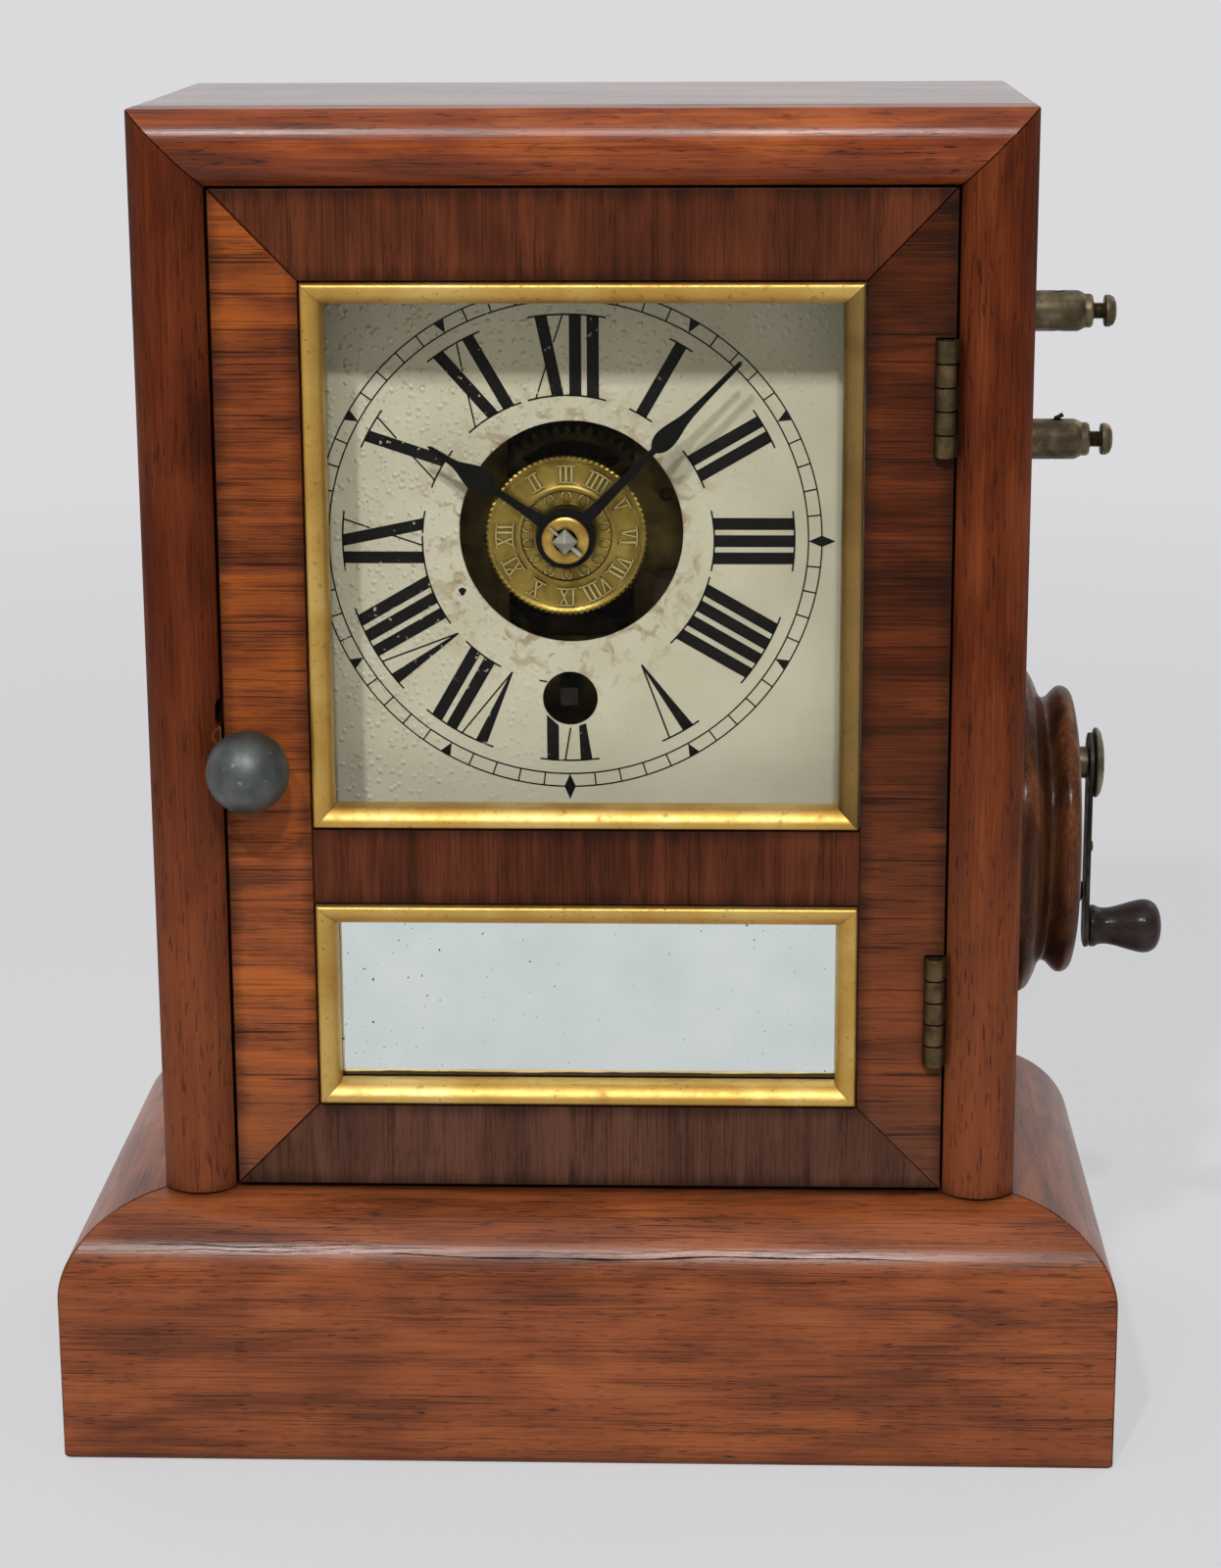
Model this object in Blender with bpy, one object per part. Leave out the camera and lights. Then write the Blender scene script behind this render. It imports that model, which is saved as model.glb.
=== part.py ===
"""Cottage shelf clock: pendulum movement, alarm disc and an electric alarm switch on its side.

Metres, +Z up. The front faces -Y, and the origin is the middle of the plinth's underside.
A depth is counted back from the plane of the front mouldings' edges, and the movement's
own places are counted from the centre arbor, +X right and +Z up as seen from the front.
"""

import math

import bmesh
import bpy

# Clearances
GLUE_LINE = 0.0003
SEAT = 0.0003
RUNNING = 0.0001

# Case
CASE_WIDTH = 0.1924
CASE_DEPTH = 0.1015
OVERALL_HEIGHT = 0.300
BOARD = 0.009
BACK_THICKNESS = 0.004
MOULDING_WIDTH = 0.016
MOULDING_RISE = 0.0043
MOULDING_BODY = 0.012

# Plinth
PLINTH_HEIGHT = 0.0583
PLINTH_SIDE = 0.0223
PLINTH_FRONT = 0.0197
PLINTH_ROUND = 0.020
FLOOR_THICKNESS = 0.009
BOTTOM_THICKNESS = 0.008

# Door
DOOR_GAP = 0.0006
DOOR_SETBACK = 0.0003
DOOR_THICKNESS = 0.012
STILE_WIDTH = 0.0189
TOP_RAIL = 0.0196
MID_RAIL = 0.0172
BOTTOM_RAIL = 0.0193
LOWER_WINDOW = 0.0473
GILT_WIDTH = 0.0049
GILT_DEPTH = 0.0053
GILT_CREST = 0.0013
REBATE = 0.0025
GLASS_THICKNESS = 0.002
MIRROR_BACKING_THICKNESS = 0.003

# Hinges
HINGE_LENGTH = 0.0254
HINGE_KNUCKLES = 5
KNUCKLE_RADIUS = 0.0023
HINGE_PIN_RADIUS = 0.0011
LEAF_THICKNESS = 0.001
LEAF_DEPTH = 0.0095
UPPER_HINGE_BELOW = 0.0446
LOWER_HINGE_ABOVE = 0.0423
HINGE_AXIS_INSET = 0.0026
HINGE_AXIS_PROUD = 0.0008

# Door knob and latch
KNOB_RADIUS = 0.0092
KNOB_INSET = 0.0066
KNOB_ABOVE = 0.0997
KNOB_NECK_RADIUS = 0.0032
KNOB_NECK_LENGTH = 0.003
SPINDLE_RADIUS = 0.002
LATCH_LENGTH = 0.0125
LATCH_WIDTH = 0.006
LATCH_THICKNESS = 0.0012

# Dial
DIAL_DEPTH = 0.025
DIAL_THICKNESS = 0.0008
DIAL_WIDTH = 0.150
DIAL_LAP = 0.0081
DIAL_LIFT = 0.0001
DIAL_HOLE_RADIUS = 0.02465
DIAL_HOLE_SHIFT = 0.0008
WINDING_HOLE_RADIUS = 0.006
DIAL_STRIP_WIDTH = 0.022
DIAL_STRIP_THICKNESS = 0.010

# Movement frame
ARBOR_X = -0.0046
ARBOR_LIFT = 0.0021
PLATE_DEPTH = 0.042
PLATE_THICKNESS = 0.0015
PLATE_GAP = 0.0285
PLATE_HALF_WIDTH = 0.042
PLATE_TOP = 0.052
PLATE_BOTTOM = 0.056
PLATE_STRIP = 0.011
PLATE_WINDOW_HALF = 0.0145
CENTRE_BAR_UP = 0.009
CENTRE_BAR_DOWN = 0.0135
WINDOW_UP = 0.0195
WINDOW_DOWN = 0.0275
PILLAR_RADIUS = 0.0026
PILLAR_TENON_RADIUS = 0.0015
PILLAR_EDGE = 0.0045
PIVOT_RADIUS = 0.0007
OIL_SINK_RADIUS = 0.00175

# Going train: tooth counts, centre distances and directions from one arbor to the next
GREAT_TEETH = 60
CENTRE_PINION = 10
CENTRE_TEETH = 48
THIRD_PINION = 6
THIRD_TEETH = 72
ESCAPE_PINION = 6
ESCAPE_TEETH = 48
WINDING_BELOW = 0.0384
THIRD_CENTRES = 0.0225
THIRD_DIRECTION = 14.0
ESCAPE_CENTRES = 0.0195
ESCAPE_DIRECTION = 112.0
ESCAPE_RADIUS = 0.0095
VERGE_ABOVE = 0.0123

# Motion work
CANNON_PINION = 12
MINUTE_TEETH = 36
MINUTE_PINION = 8
HOUR_TEETH = 32
MOTION_CENTRES = 0.012
MOTION_DIRECTION = -50.5

# Tooth form, as shares of the circular pitch
TOOTH_ROOT_SHARE = 0.55
TOOTH_TIP_SHARE = 0.25
ADDENDUM_SHARE = 0.28
DEDENDUM_SHARE = 0.42
PIN_SHARE = 0.20

# Arbors and wheels
ARBOR_RADIUS = 0.0009
CENTRE_ARBOR_RADIUS = 0.0015
HAND_ARBOR_RADIUS = 0.0027
WINDING_ARBOR_RADIUS = 0.0026
WINDING_SQUARE = 0.0040
WHEEL_THICKNESS = 0.001
GREAT_THICKNESS = 0.0016
SHROUD_THICKNESS = 0.0006
PINION_LENGTH = 0.0038
RIM_WIDTH = 0.0016
SPOKE_WIDTH = 0.0022
CENTRE_WHEEL_DEPTH = 0.046
GREAT_WHEEL_DEPTH = 0.052
THIRD_WHEEL_DEPTH = 0.060
ESCAPE_WHEEL_DEPTH = 0.066
MINUTE_WHEEL_DEPTH = 0.0382
HOUR_WHEEL_DEPTH = 0.0340

# Winding work and mainspring
RATCHET_RADIUS = 0.0090
RATCHET_TEETH = 18
RATCHET_THICKNESS = 0.0015
CLICK_LENGTH = 0.0085
CLICK_SCREW_RADIUS = 0.0013
SPRING_WIDTH = 0.012
SPRING_THICKNESS = 0.00045
SPRING_PITCH = 0.0016
SPRING_TURNS = 5
SPRING_STEPS = 10

# Hands, set to seven and a half minutes past ten
MINUTES_PAST = 7.43
HOUR_SHOWN = 10
MINUTE_HAND_LENGTH = 0.0553
HOUR_HAND_LENGTH = 0.0366
HAND_THICKNESS = 0.0007
HAND_BOSS_RADIUS = 0.0062
HAND_ARM_WIDTH = 0.0026
MINUTE_LEAF_WIDTH = 0.0046
HOUR_LEAF_WIDTH = 0.0058
MINUTE_HAND_DEPTH = 0.0142
HOUR_HAND_DEPTH = 0.0170
ARBOR_TIP_DEPTH = 0.0097
ARBOR_POINT = 0.0015
COLLET_RADIUS = 0.005
COLLET_THICKNESS = 0.001
HAND_PIN_RADIUS = 0.0006
HAND_PIN_LENGTH = 0.0096
HAND_PIN_ANGLE = 42.0

# Alarm
ALARM_RADIUS = 0.017
ALARM_THICKNESS = 0.0012
ALARM_DEPTH = 0.0193
ALARM_TEETH = 30
HOUR_PIPE_RADIUS = 0.0037
ALARM_HUB_RADIUS = 0.0050
ALARM_CAM_RADIUS = 0.0075
ALARM_CAM_DEPTH = 0.0295
CONTACT_STRIP_THICKNESS = 0.0005
CONTACT_BLOCK = 0.006
CONTACT_BLOCK_X = 0.022
CONTACT_BLOCK_Z = -0.015

# Verge and pendulum
PENDULUM_LENGTH = 0.1517
PENDULUM_BEHIND = 0.0095
PENDULUM_ROD_RADIUS = 0.0009
BOB_RADIUS = 0.013
BOB_THICKNESS = 0.007
SUSPENSION_LEAF = 0.0006
SUSPENSION_LENGTH = 0.012
CRUTCH_LENGTH = 0.030
CRUTCH_RADIUS = 0.0007
PALLET_SPAN = 38.0
PALLET_CLEARANCE = 0.0009

# Terminals on the right side
TERMINAL_DEPTH = 0.048
UPPER_TERMINAL_BELOW = 0.0481
LOWER_TERMINAL_BELOW = 0.0772
POST_RADIUS = 0.0046
POST_LENGTH = 0.0138
POST_SHOULDER_RADIUS = 0.0038
POST_SHOULDER = 0.0028
POST_SHANK_RADIUS = 0.002
WIRE_HOLE_RADIUS = 0.0014
WIRE_HOLE_OUT = 0.0090
SCREW_RADIUS = 0.0019
SCREW_HEAD_RADIUS = 0.0036
SCREW_HEAD = 0.0028
SCREW_HEAD_GAP = 0.0027
SCREW_SLOT = 0.0008
WIRE_RADIUS = 0.0006
WIRE_LENGTH = 0.0135

# Switch on the right side
SWITCH_DEPTH = 0.048
SWITCH_ABOVE = 0.0714
SWITCH_FOOT_RADIUS = 0.0392
SWITCH_NECK_RADIUS = 0.0316
SWITCH_RIM_RADIUS = 0.0346
SWITCH_FOOT = 0.0075
SWITCH_RIM_OUT = 0.0145
SWITCH_FACE_OUT = 0.0165
LEVER_PIVOT_ABOVE = 0.0172
LEVER_LENGTH = 0.0397
BLADE_LIFT = 0.0022
BLADE_THICKNESS = 0.001
BLADE_WIDTH = 0.009
PIVOT_HEAD_RADIUS = 0.0082
PIVOT_HEAD = 0.0026
PIVOT_SHANK_RADIUS = 0.0016
HANDLE_LENGTH = 0.0170
HANDLE_RADIUS = 0.0063
STUD_RADIUS = 0.003
STUD_BELOW = 0.031

# Facets
FINE = 24
ROUND = 10
SMALL = 6
TRUNDLE_SIDES = 5
ARC_STEPS = 8

# Worked-out places
FRONT_Y = PLINTH_FRONT - (CASE_DEPTH + PLINTH_FRONT) / 2
BACK_Y = FRONT_Y + CASE_DEPTH
CASE_HALF = CASE_WIDTH / 2
DOORWAY_HALF = CASE_HALF - MOULDING_WIDTH
DOOR_HALF = DOORWAY_HALF - DOOR_GAP
CASE_FOOT = PLINTH_HEIGHT + GLUE_LINE
DOOR_BOTTOM = CASE_FOOT + DOOR_GAP
DOOR_TOP = OVERALL_HEIGHT - MOULDING_WIDTH - DOOR_GAP
DOOR_BACK = DOOR_SETBACK + DOOR_THICKNESS
INNER_HALF = CASE_HALF - BOARD
FRONT_PLATE_BACK = PLATE_DEPTH + PLATE_THICKNESS
BACK_PLATE = FRONT_PLATE_BACK + PLATE_GAP
BACK_PLATE_BACK = BACK_PLATE + PLATE_THICKNESS
BACKBOARD = CASE_DEPTH - BACK_THICKNESS
LOWER_SILL = DOOR_BOTTOM + BOTTOM_RAIL
LOWER_HEAD = LOWER_SILL + LOWER_WINDOW
UPPER_SILL = LOWER_HEAD + MID_RAIL
UPPER_HEAD = DOOR_TOP - TOP_RAIL
WINDOW_MIDDLE = (UPPER_SILL + UPPER_HEAD) / 2
ARBOR_Z = WINDOW_MIDDLE + ARBOR_LIFT
DIAL_CENTRE_Z = WINDOW_MIDDLE + DIAL_LIFT
DIAL_HEIGHT = UPPER_HEAD - UPPER_SILL + 2 * DIAL_LAP
UPPER_HINGE_Z = DOOR_TOP - UPPER_HINGE_BELOW
LOWER_HINGE_Z = DOOR_BOTTOM + LOWER_HINGE_ABOVE
KNOB_Z = DOOR_BOTTOM + KNOB_ABOVE
UPPER_TERMINAL_Z = OVERALL_HEIGHT - UPPER_TERMINAL_BELOW
LOWER_TERMINAL_Z = OVERALL_HEIGHT - LOWER_TERMINAL_BELOW
SWITCH_Z = PLINTH_HEIGHT + SWITCH_ABOVE
HINGE_X = DOORWAY_HALF - HINGE_AXIS_INSET
KNOB_X = KNOB_INSET - DOOR_HALF
PILLAR_X = PLATE_HALF_WIDTH - PILLAR_EDGE
PILLARS = [
    (side * PILLAR_X, height)
    for side in (-1, 1)
    for height in (PILLAR_EDGE + PILLAR_RADIUS - PLATE_BOTTOM, PLATE_TOP - PILLAR_EDGE)
]


def polar(radius, degrees):
    """Return the point at a radius and an angle from +X towards +Z."""
    angle = math.radians(degrees)
    return radius * math.cos(angle), radius * math.sin(angle)


def offset(point, radius, degrees):
    """Return the point at a radius and an angle from another point."""
    step = polar(radius, degrees)
    return point[0] + step[0], point[1] + step[1]


CENTRE = (0.0, 0.0)
WINDING = (0.0, -WINDING_BELOW)
THIRD = polar(THIRD_CENTRES, THIRD_DIRECTION)
ESCAPE = offset(THIRD, ESCAPE_CENTRES, ESCAPE_DIRECTION)
VERGE = (ESCAPE[0], ESCAPE[1] + VERGE_ABOVE)
MOTION = polar(MOTION_CENTRES, MOTION_DIRECTION)


def clear_scene():
    """Remove every object of the scene."""
    for item in list(bpy.data.objects):
        bpy.data.objects.remove(item, do_unlink=True)


def finish(name, colour, roughness, metallic=0.0):
    """Return a Principled material."""
    material = bpy.data.materials.new(name)
    material.use_nodes = True
    shader = material.node_tree.nodes["Principled BSDF"]
    shader.inputs["Base Color"].default_value = (*colour, 1.0)
    shader.inputs["Roughness"].default_value = roughness
    shader.inputs["Metallic"].default_value = metallic
    return material


def to_mesh(name, bm):
    """Turn a bmesh into a mesh whose faces point out."""
    bm.normal_update()
    bmesh.ops.recalc_face_normals(bm, faces=bm.faces[:])
    mesh = bpy.data.meshes.new(name)
    bm.to_mesh(mesh)
    bm.free()
    return mesh


def node(name, mesh, material, place=(0.0, 0.0, 0.0), turn=0.0, smooth=False):
    """Add one piece: a named object with its material, turned about Y at its place."""
    piece = bpy.data.objects.new(name, mesh)
    piece.location = place
    piece.rotation_euler = (0.0, math.radians(turn), 0.0)
    mesh.materials.append(material)
    bpy.context.scene.collection.objects.link(piece)
    if smooth:
        mesh.shade_smooth()
        mesh.set_sharp_from_angle(angle=math.radians(35.0))
    return piece


def shape(piece, operation, *meshes):
    """Join meshes to a piece, or cut them out of it; they share its frame."""
    for mesh in meshes:
        tool = bpy.data.objects.new(f"{piece.name}_tool", mesh)
        bpy.context.scene.collection.objects.link(tool)
        tool.parent = piece
        tool.hide_render = True
        tool.display_type = "WIRE"
        step = piece.modifiers.new(operation.lower(), "BOOLEAN")
        step.operation = operation
        step.solver = "EXACT"
        step.object = tool
    return piece


def at_depth(depth):
    """Return the Y of a depth behind the case front."""
    return FRONT_Y + depth


def circle(radius, count, centre=CENTRE, phase=0.0):
    """Return the points of a circle about a centre, in the XZ plane."""
    return [offset(centre, radius, phase + 360.0 * i / count) for i in range(count)]


def bore_radius(shaft, count):
    """Return the corner radius of a faceted bore that a shaft turns freely in."""
    return (shaft + RUNNING) / math.cos(math.pi / count)


def bore(shaft, count, centre=CENTRE):
    """Return the points of a faceted bore that a shaft turns freely in."""
    return circle(bore_radius(shaft, count), count, centre)


def rectangle(low_u, high_u, low_v, high_v):
    """Return a rectangle's corners."""
    return [(low_u, low_v), (high_u, low_v), (high_u, high_v), (low_u, high_v)]


def add_prism(bm, outline, holes, near, far):
    """Extrude an XZ outline with holes between two values of Y."""
    before = set(bm.faces)
    edges = []
    for loop in [outline, *holes]:
        verts = [bm.verts.new((u, near, v)) for u, v in loop]
        edges += [bm.edges.new((a, b)) for a, b in zip(verts, verts[1:] + verts[:1])]
    bmesh.ops.triangle_fill(bm, edges=edges, use_beauty=True)
    faces = [face for face in bm.faces if face not in before]
    grown = bmesh.ops.extrude_face_region(bm, geom=faces)["geom"]
    moved = [item for item in grown if isinstance(item, bmesh.types.BMVert)]
    bmesh.ops.translate(bm, verts=moved, vec=(0.0, far - near, 0.0))


def prism(name, outline, near, far, holes=()):
    """Return a plate of an XZ outline with holes."""
    bm = bmesh.new()
    add_prism(bm, outline, holes, near, far)
    return to_mesh(name, bm)


def prisms(name, outlines, near, far):
    """Return several separate plates as one mesh."""
    bm = bmesh.new()
    for outline in outlines:
        add_prism(bm, outline, (), near, far)
    return to_mesh(name, bm)


def place_on(axis, radius, along, angle):
    """Return a point of a turned surface about X, Y or Z."""
    a = radius * math.cos(angle)
    b = radius * math.sin(angle)
    return {"X": (along, a, b), "Y": (a, along, b), "Z": (a, b, along)}[axis]


def turned(name, profile, sides, axis="Y", centre=(0.0, 0.0, 0.0), hollow=False):
    """Turn a profile of (radius, along) about an axis; a hollow profile closes on itself."""
    bm = bmesh.new()
    rings = []
    for radius, along in profile:
        count = sides if radius > 0.0 else 1
        points = [place_on(axis, radius, along, 2 * math.pi * i / sides) for i in range(count)]
        rings.append([bm.verts.new([p + c for p, c in zip(point, centre)]) for point in points])
    pairs = list(zip(rings, rings[1:]))
    if hollow:
        pairs.append((rings[-1], rings[0]))
    for ring, other in pairs:
        for i in range(sides):
            j = (i + 1) % sides
            corners = [ring[i % len(ring)], ring[j % len(ring)]]
            corners += [other[j % len(other)], other[i % len(other)]]
            bm.faces.new(list(dict.fromkeys(corners)))
    if not hollow:
        for ring in (rings[0], rings[-1]):
            if len(ring) > 1:
                bm.faces.new(ring)
    return to_mesh(name, bm)


def loft(name, first, last):
    """Return the solid between two loops of points."""
    bm = bmesh.new()
    a = [bm.verts.new(point) for point in first]
    b = [bm.verts.new(point) for point in last]
    bm.faces.new(a)
    bm.faces.new(b)
    for i in range(len(a)):
        j = (i + 1) % len(a)
        bm.faces.new((a[i], a[j], b[j], b[i]))
    return to_mesh(name, bm)


def block(name, low, high):
    """Return a box between two corners."""
    return prism(name, rectangle(low[0], high[0], low[2], high[2]), low[1], high[1])


def strip(name, path, thickness, near, far):
    """Return a flat strip bent along an XZ path."""
    sides = {-1: [], 1: []}
    for i, (u, v) in enumerate(path):
        before = path[max(i - 1, 0)]
        after = path[min(i + 1, len(path) - 1)]
        length = math.hypot(after[0] - before[0], after[1] - before[1])
        normal = ((before[1] - after[1]) / length, (after[0] - before[0]) / length)
        for side in sides:
            reach = side * thickness / 2
            sides[side].append((u + reach * normal[0], v + reach * normal[1]))
    return prism(name, sides[-1] + sides[1][::-1], near, far)


# Case and plinth

def moulding_profile():
    """Return (share of the width, depth) round the front moulding's rounded section."""
    half = MOULDING_WIDTH / 2
    radius = (half * half + MOULDING_RISE * MOULDING_RISE) / (2 * MOULDING_RISE)
    reach = math.asin(half / radius)
    points = []
    for i in range(ARC_STEPS + 1):
        angle = reach * (2 * i / ARC_STEPS - 1)
        share = 0.5 + radius * math.sin(angle) / MOULDING_WIDTH
        points.append((share, radius * (math.cos(reach) - math.cos(angle))))
    return points + [(1.0, MOULDING_BODY), (0.0, MOULDING_BODY)]


def make_mouldings(veneer):
    """Add the three rounded front mouldings, mitred at the top corners."""
    section = moulding_profile()
    for name, side in (("moulding_left", -1), ("moulding_right", 1)):
        foot = []
        head = []
        for share, depth in section:
            x = side * (CASE_HALF - share * MOULDING_WIDTH)
            foot.append((x, at_depth(depth), CASE_FOOT))
            head.append((x, at_depth(depth), OVERALL_HEIGHT - share * MOULDING_WIDTH - GLUE_LINE))
        piece = node(name, loft(name, foot, head), veneer, smooth=True)
        if side > 0:
            heights = (UPPER_HINGE_Z, LOWER_HINGE_Z)
            shape(piece, "DIFFERENCE", *[leaf_pocket(name, height) for height in heights])
    ends = []
    for side in (-1, 1):
        loop = []
        for share, depth in section:
            x = side * (CASE_HALF - share * MOULDING_WIDTH)
            loop.append((x, at_depth(depth), OVERALL_HEIGHT - share * MOULDING_WIDTH))
        ends.append(loop)
    node("moulding_top", loft("moulding_top", *ends), veneer, smooth=True)


def leaf_pocket(name, height):
    """Return the cutter that lets a hinge leaf into the right moulding."""
    half = HINGE_LENGTH / 2 + SEAT
    low = (DOORWAY_HALF - DOOR_GAP, at_depth(-2 * MOULDING_RISE), height - half)
    high = (DOORWAY_HALF + LEAF_THICKNESS + SEAT, at_depth(LEAF_DEPTH + 2 * SEAT), height + half)
    return block(f"{name}_pocket", low, high)


def make_boards(veneer, pine):
    """Add the sides, the top and the backboard."""
    front = at_depth(MOULDING_BODY + GLUE_LINE)
    under = OVERALL_HEIGHT - BOARD - GLUE_LINE
    for name, side in (("left_side", -1), ("right_side", 1)):
        edges = sorted((side * INNER_HALF, side * CASE_HALF))
        piece = node(name, block(name, (edges[0], front, CASE_FOOT), (edges[1], BACK_Y, under)), veneer)
        if side > 0:
            shape(piece, "DIFFERENCE", *[
                turned(f"{name}_bore", [(bore_radius(POST_SHANK_RADIUS, ROUND), INNER_HALF - BOARD),
                                        (bore_radius(POST_SHANK_RADIUS, ROUND), CASE_HALF + BOARD)],
                       ROUND, "X", (0.0, at_depth(TERMINAL_DEPTH), height))
                for height in (UPPER_TERMINAL_Z, LOWER_TERMINAL_Z)])
    low = (-CASE_HALF, front, OVERALL_HEIGHT - BOARD)
    top = block("top_board", low, (CASE_HALF, BACK_Y, OVERALL_HEIGHT))
    node("top_board", top, veneer)
    inner = INNER_HALF - GLUE_LINE
    node("backboard", block("backboard", (-inner, at_depth(BACKBOARD), 0.0), (inner, BACK_Y, under)), pine)


def plinth_profile():
    """Return (share of the projection, height) round the plinth moulding's section."""
    lap = -BOARD / PLINTH_SIDE
    points = [(lap, 0.0), (1.0, 0.0)]
    for i in range(ARC_STEPS + 1):
        angle = math.pi / 2 * i / ARC_STEPS
        points.append((math.cos(angle), PLINTH_HEIGHT - PLINTH_ROUND * (1 - math.sin(angle))))
    return points + [(lap, PLINTH_HEIGHT)]


def make_plinth(veneer, pine):
    """Add the rounded plinth mouldings, mitred at the front corners, and the boards between them."""
    section = plinth_profile()
    corners = {}
    for side in (-1, 1):
        corners[side] = [
            (side * (CASE_HALF + share * PLINTH_SIDE), at_depth(-share * PLINTH_FRONT), height)
            for share, height in section]
    node("plinth_front", loft("plinth_front", corners[-1], corners[1]), veneer, smooth=True)
    for name, side in (("plinth_left", -1), ("plinth_right", 1)):
        front = [(x, y + GLUE_LINE, z) for x, y, z in corners[side]]
        back = [(x, BACK_Y, z) for x, y, z in corners[side]]
        node(name, loft(name, front, back), veneer, smooth=True)
    inner = INNER_HALF - GLUE_LINE
    front = at_depth(BOARD / PLINTH_SIDE * PLINTH_FRONT + GLUE_LINE)
    back = at_depth(BACKBOARD - GLUE_LINE)
    low = (-inner, front, PLINTH_HEIGHT - FLOOR_THICKNESS)
    floor = block("floor_board", low, (inner, back, PLINTH_HEIGHT))
    node("floor_board", floor, pine)
    node("bottom_board", block("bottom_board", (-inner, front, 0.0), (inner, back, BOTTOM_THICKNESS)), pine)


# Door

def window_edges(which):
    """Return the low and high Z of the upper or the lower window."""
    return (LOWER_SILL, LOWER_HEAD) if which == "lower" else (UPPER_SILL, UPPER_HEAD)


def window_loop(which, inset):
    """Return a window's rectangle, drawn in from the edge of its opening."""
    low, high = window_edges(which)
    half = DOOR_HALF - STILE_WIDTH - inset
    return rectangle(-half, half, low + inset, high - inset)


def make_door_frame(veneer):
    """Add the door's frame with its two rebated windows, let in for the hinges and the spindle."""
    outline = rectangle(-DOOR_HALF, DOOR_HALF, DOOR_BOTTOM, DOOR_TOP)
    windows = [window_loop(which, 0.0) for which in ("upper", "lower")]
    mesh = prism("door_frame", outline, at_depth(DOOR_SETBACK), at_depth(DOOR_BACK), windows)
    piece = node("door_frame", mesh, veneer)
    seat = DOOR_SETBACK + GILT_DEPTH + SEAT
    rebates = [window_loop(which, -REBATE) for which in ("upper", "lower")]
    shape(piece, "DIFFERENCE", prisms("rebates", rebates, at_depth(seat), at_depth(DOOR_BACK + REBATE)))
    for height in (UPPER_HINGE_Z, LOWER_HINGE_Z):
        half = HINGE_LENGTH / 2 + SEAT
        reach = KNUCKLE_RADIUS + SEAT
        notch = turned("knuckle_notch", [(reach, height - half), (reach, height + half)], ROUND, "Z",
                       (HINGE_X, at_depth(-HINGE_AXIS_PROUD), 0.0))
        low = (DOOR_HALF - LEAF_THICKNESS - SEAT, at_depth(-HINGE_AXIS_PROUD), height - half)
        high = (DOOR_HALF + LEAF_THICKNESS, at_depth(LEAF_DEPTH + 2 * SEAT), height + half)
        shape(piece, "DIFFERENCE", notch, block("leaf_pocket", low, high))
    reach = bore_radius(SPINDLE_RADIUS, ROUND)
    ends = [(reach, at_depth(-BOARD)), (reach, at_depth(2 * BOARD))]
    spindle_way = turned("spindle_way", ends, ROUND, "Y", (KNOB_X, 0.0, KNOB_Z))
    shape(piece, "DIFFERENCE", spindle_way)


def gilt_profile():
    """Return (inset from the opening, depth) round a gilt strip: a bead, then a cove to the glass."""
    face = DOOR_SETBACK
    bead = GILT_WIDTH * 0.66
    points = [(SEAT, face + GILT_DEPTH), (SEAT, face)]
    for i in range(1, ARC_STEPS):
        angle = math.pi * i / ARC_STEPS
        points.append((SEAT + bead / 2 * (1 - math.cos(angle)), face - GILT_CREST * math.sin(angle)))
    points += [(bead + SEAT, face + GILT_CREST / 2), (GILT_WIDTH, face + GILT_DEPTH * 0.8)]
    return points + [(GILT_WIDTH, face + GILT_DEPTH)]


def make_gilt_frame(name, which, gilt):
    """Add the gilt moulding round a window, mitred at its corners."""
    bm = bmesh.new()
    rings = []
    for inset, depth in gilt_profile():
        rings.append([bm.verts.new((u, at_depth(depth), v)) for u, v in window_loop(which, inset)])
    for ring, other in zip(rings, rings[1:] + rings[:1]):
        for i in range(4):
            j = (i + 1) % 4
            bm.faces.new((ring[i], ring[j], other[j], other[i]))
    node(name, to_mesh(name, bm), gilt)


def make_panes(glass, mirror, pine):
    """Add the glass, the mirror and the thin board behind the mirror."""
    front = DOOR_SETBACK + GILT_DEPTH + 2 * SEAT
    back = front + GLASS_THICKNESS
    for name, which, material in (("glass_pane", "upper", glass), ("mirror_pane", "lower", mirror)):
        node(name, prism(name, window_loop(which, SEAT - REBATE), at_depth(front), at_depth(back)), material)
    board = prism("mirror_backing", window_loop("lower", SEAT - REBATE), at_depth(back + SEAT),
                  at_depth(back + SEAT + MIRROR_BACKING_THICKNESS))
    node("mirror_backing", board, pine)


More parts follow.
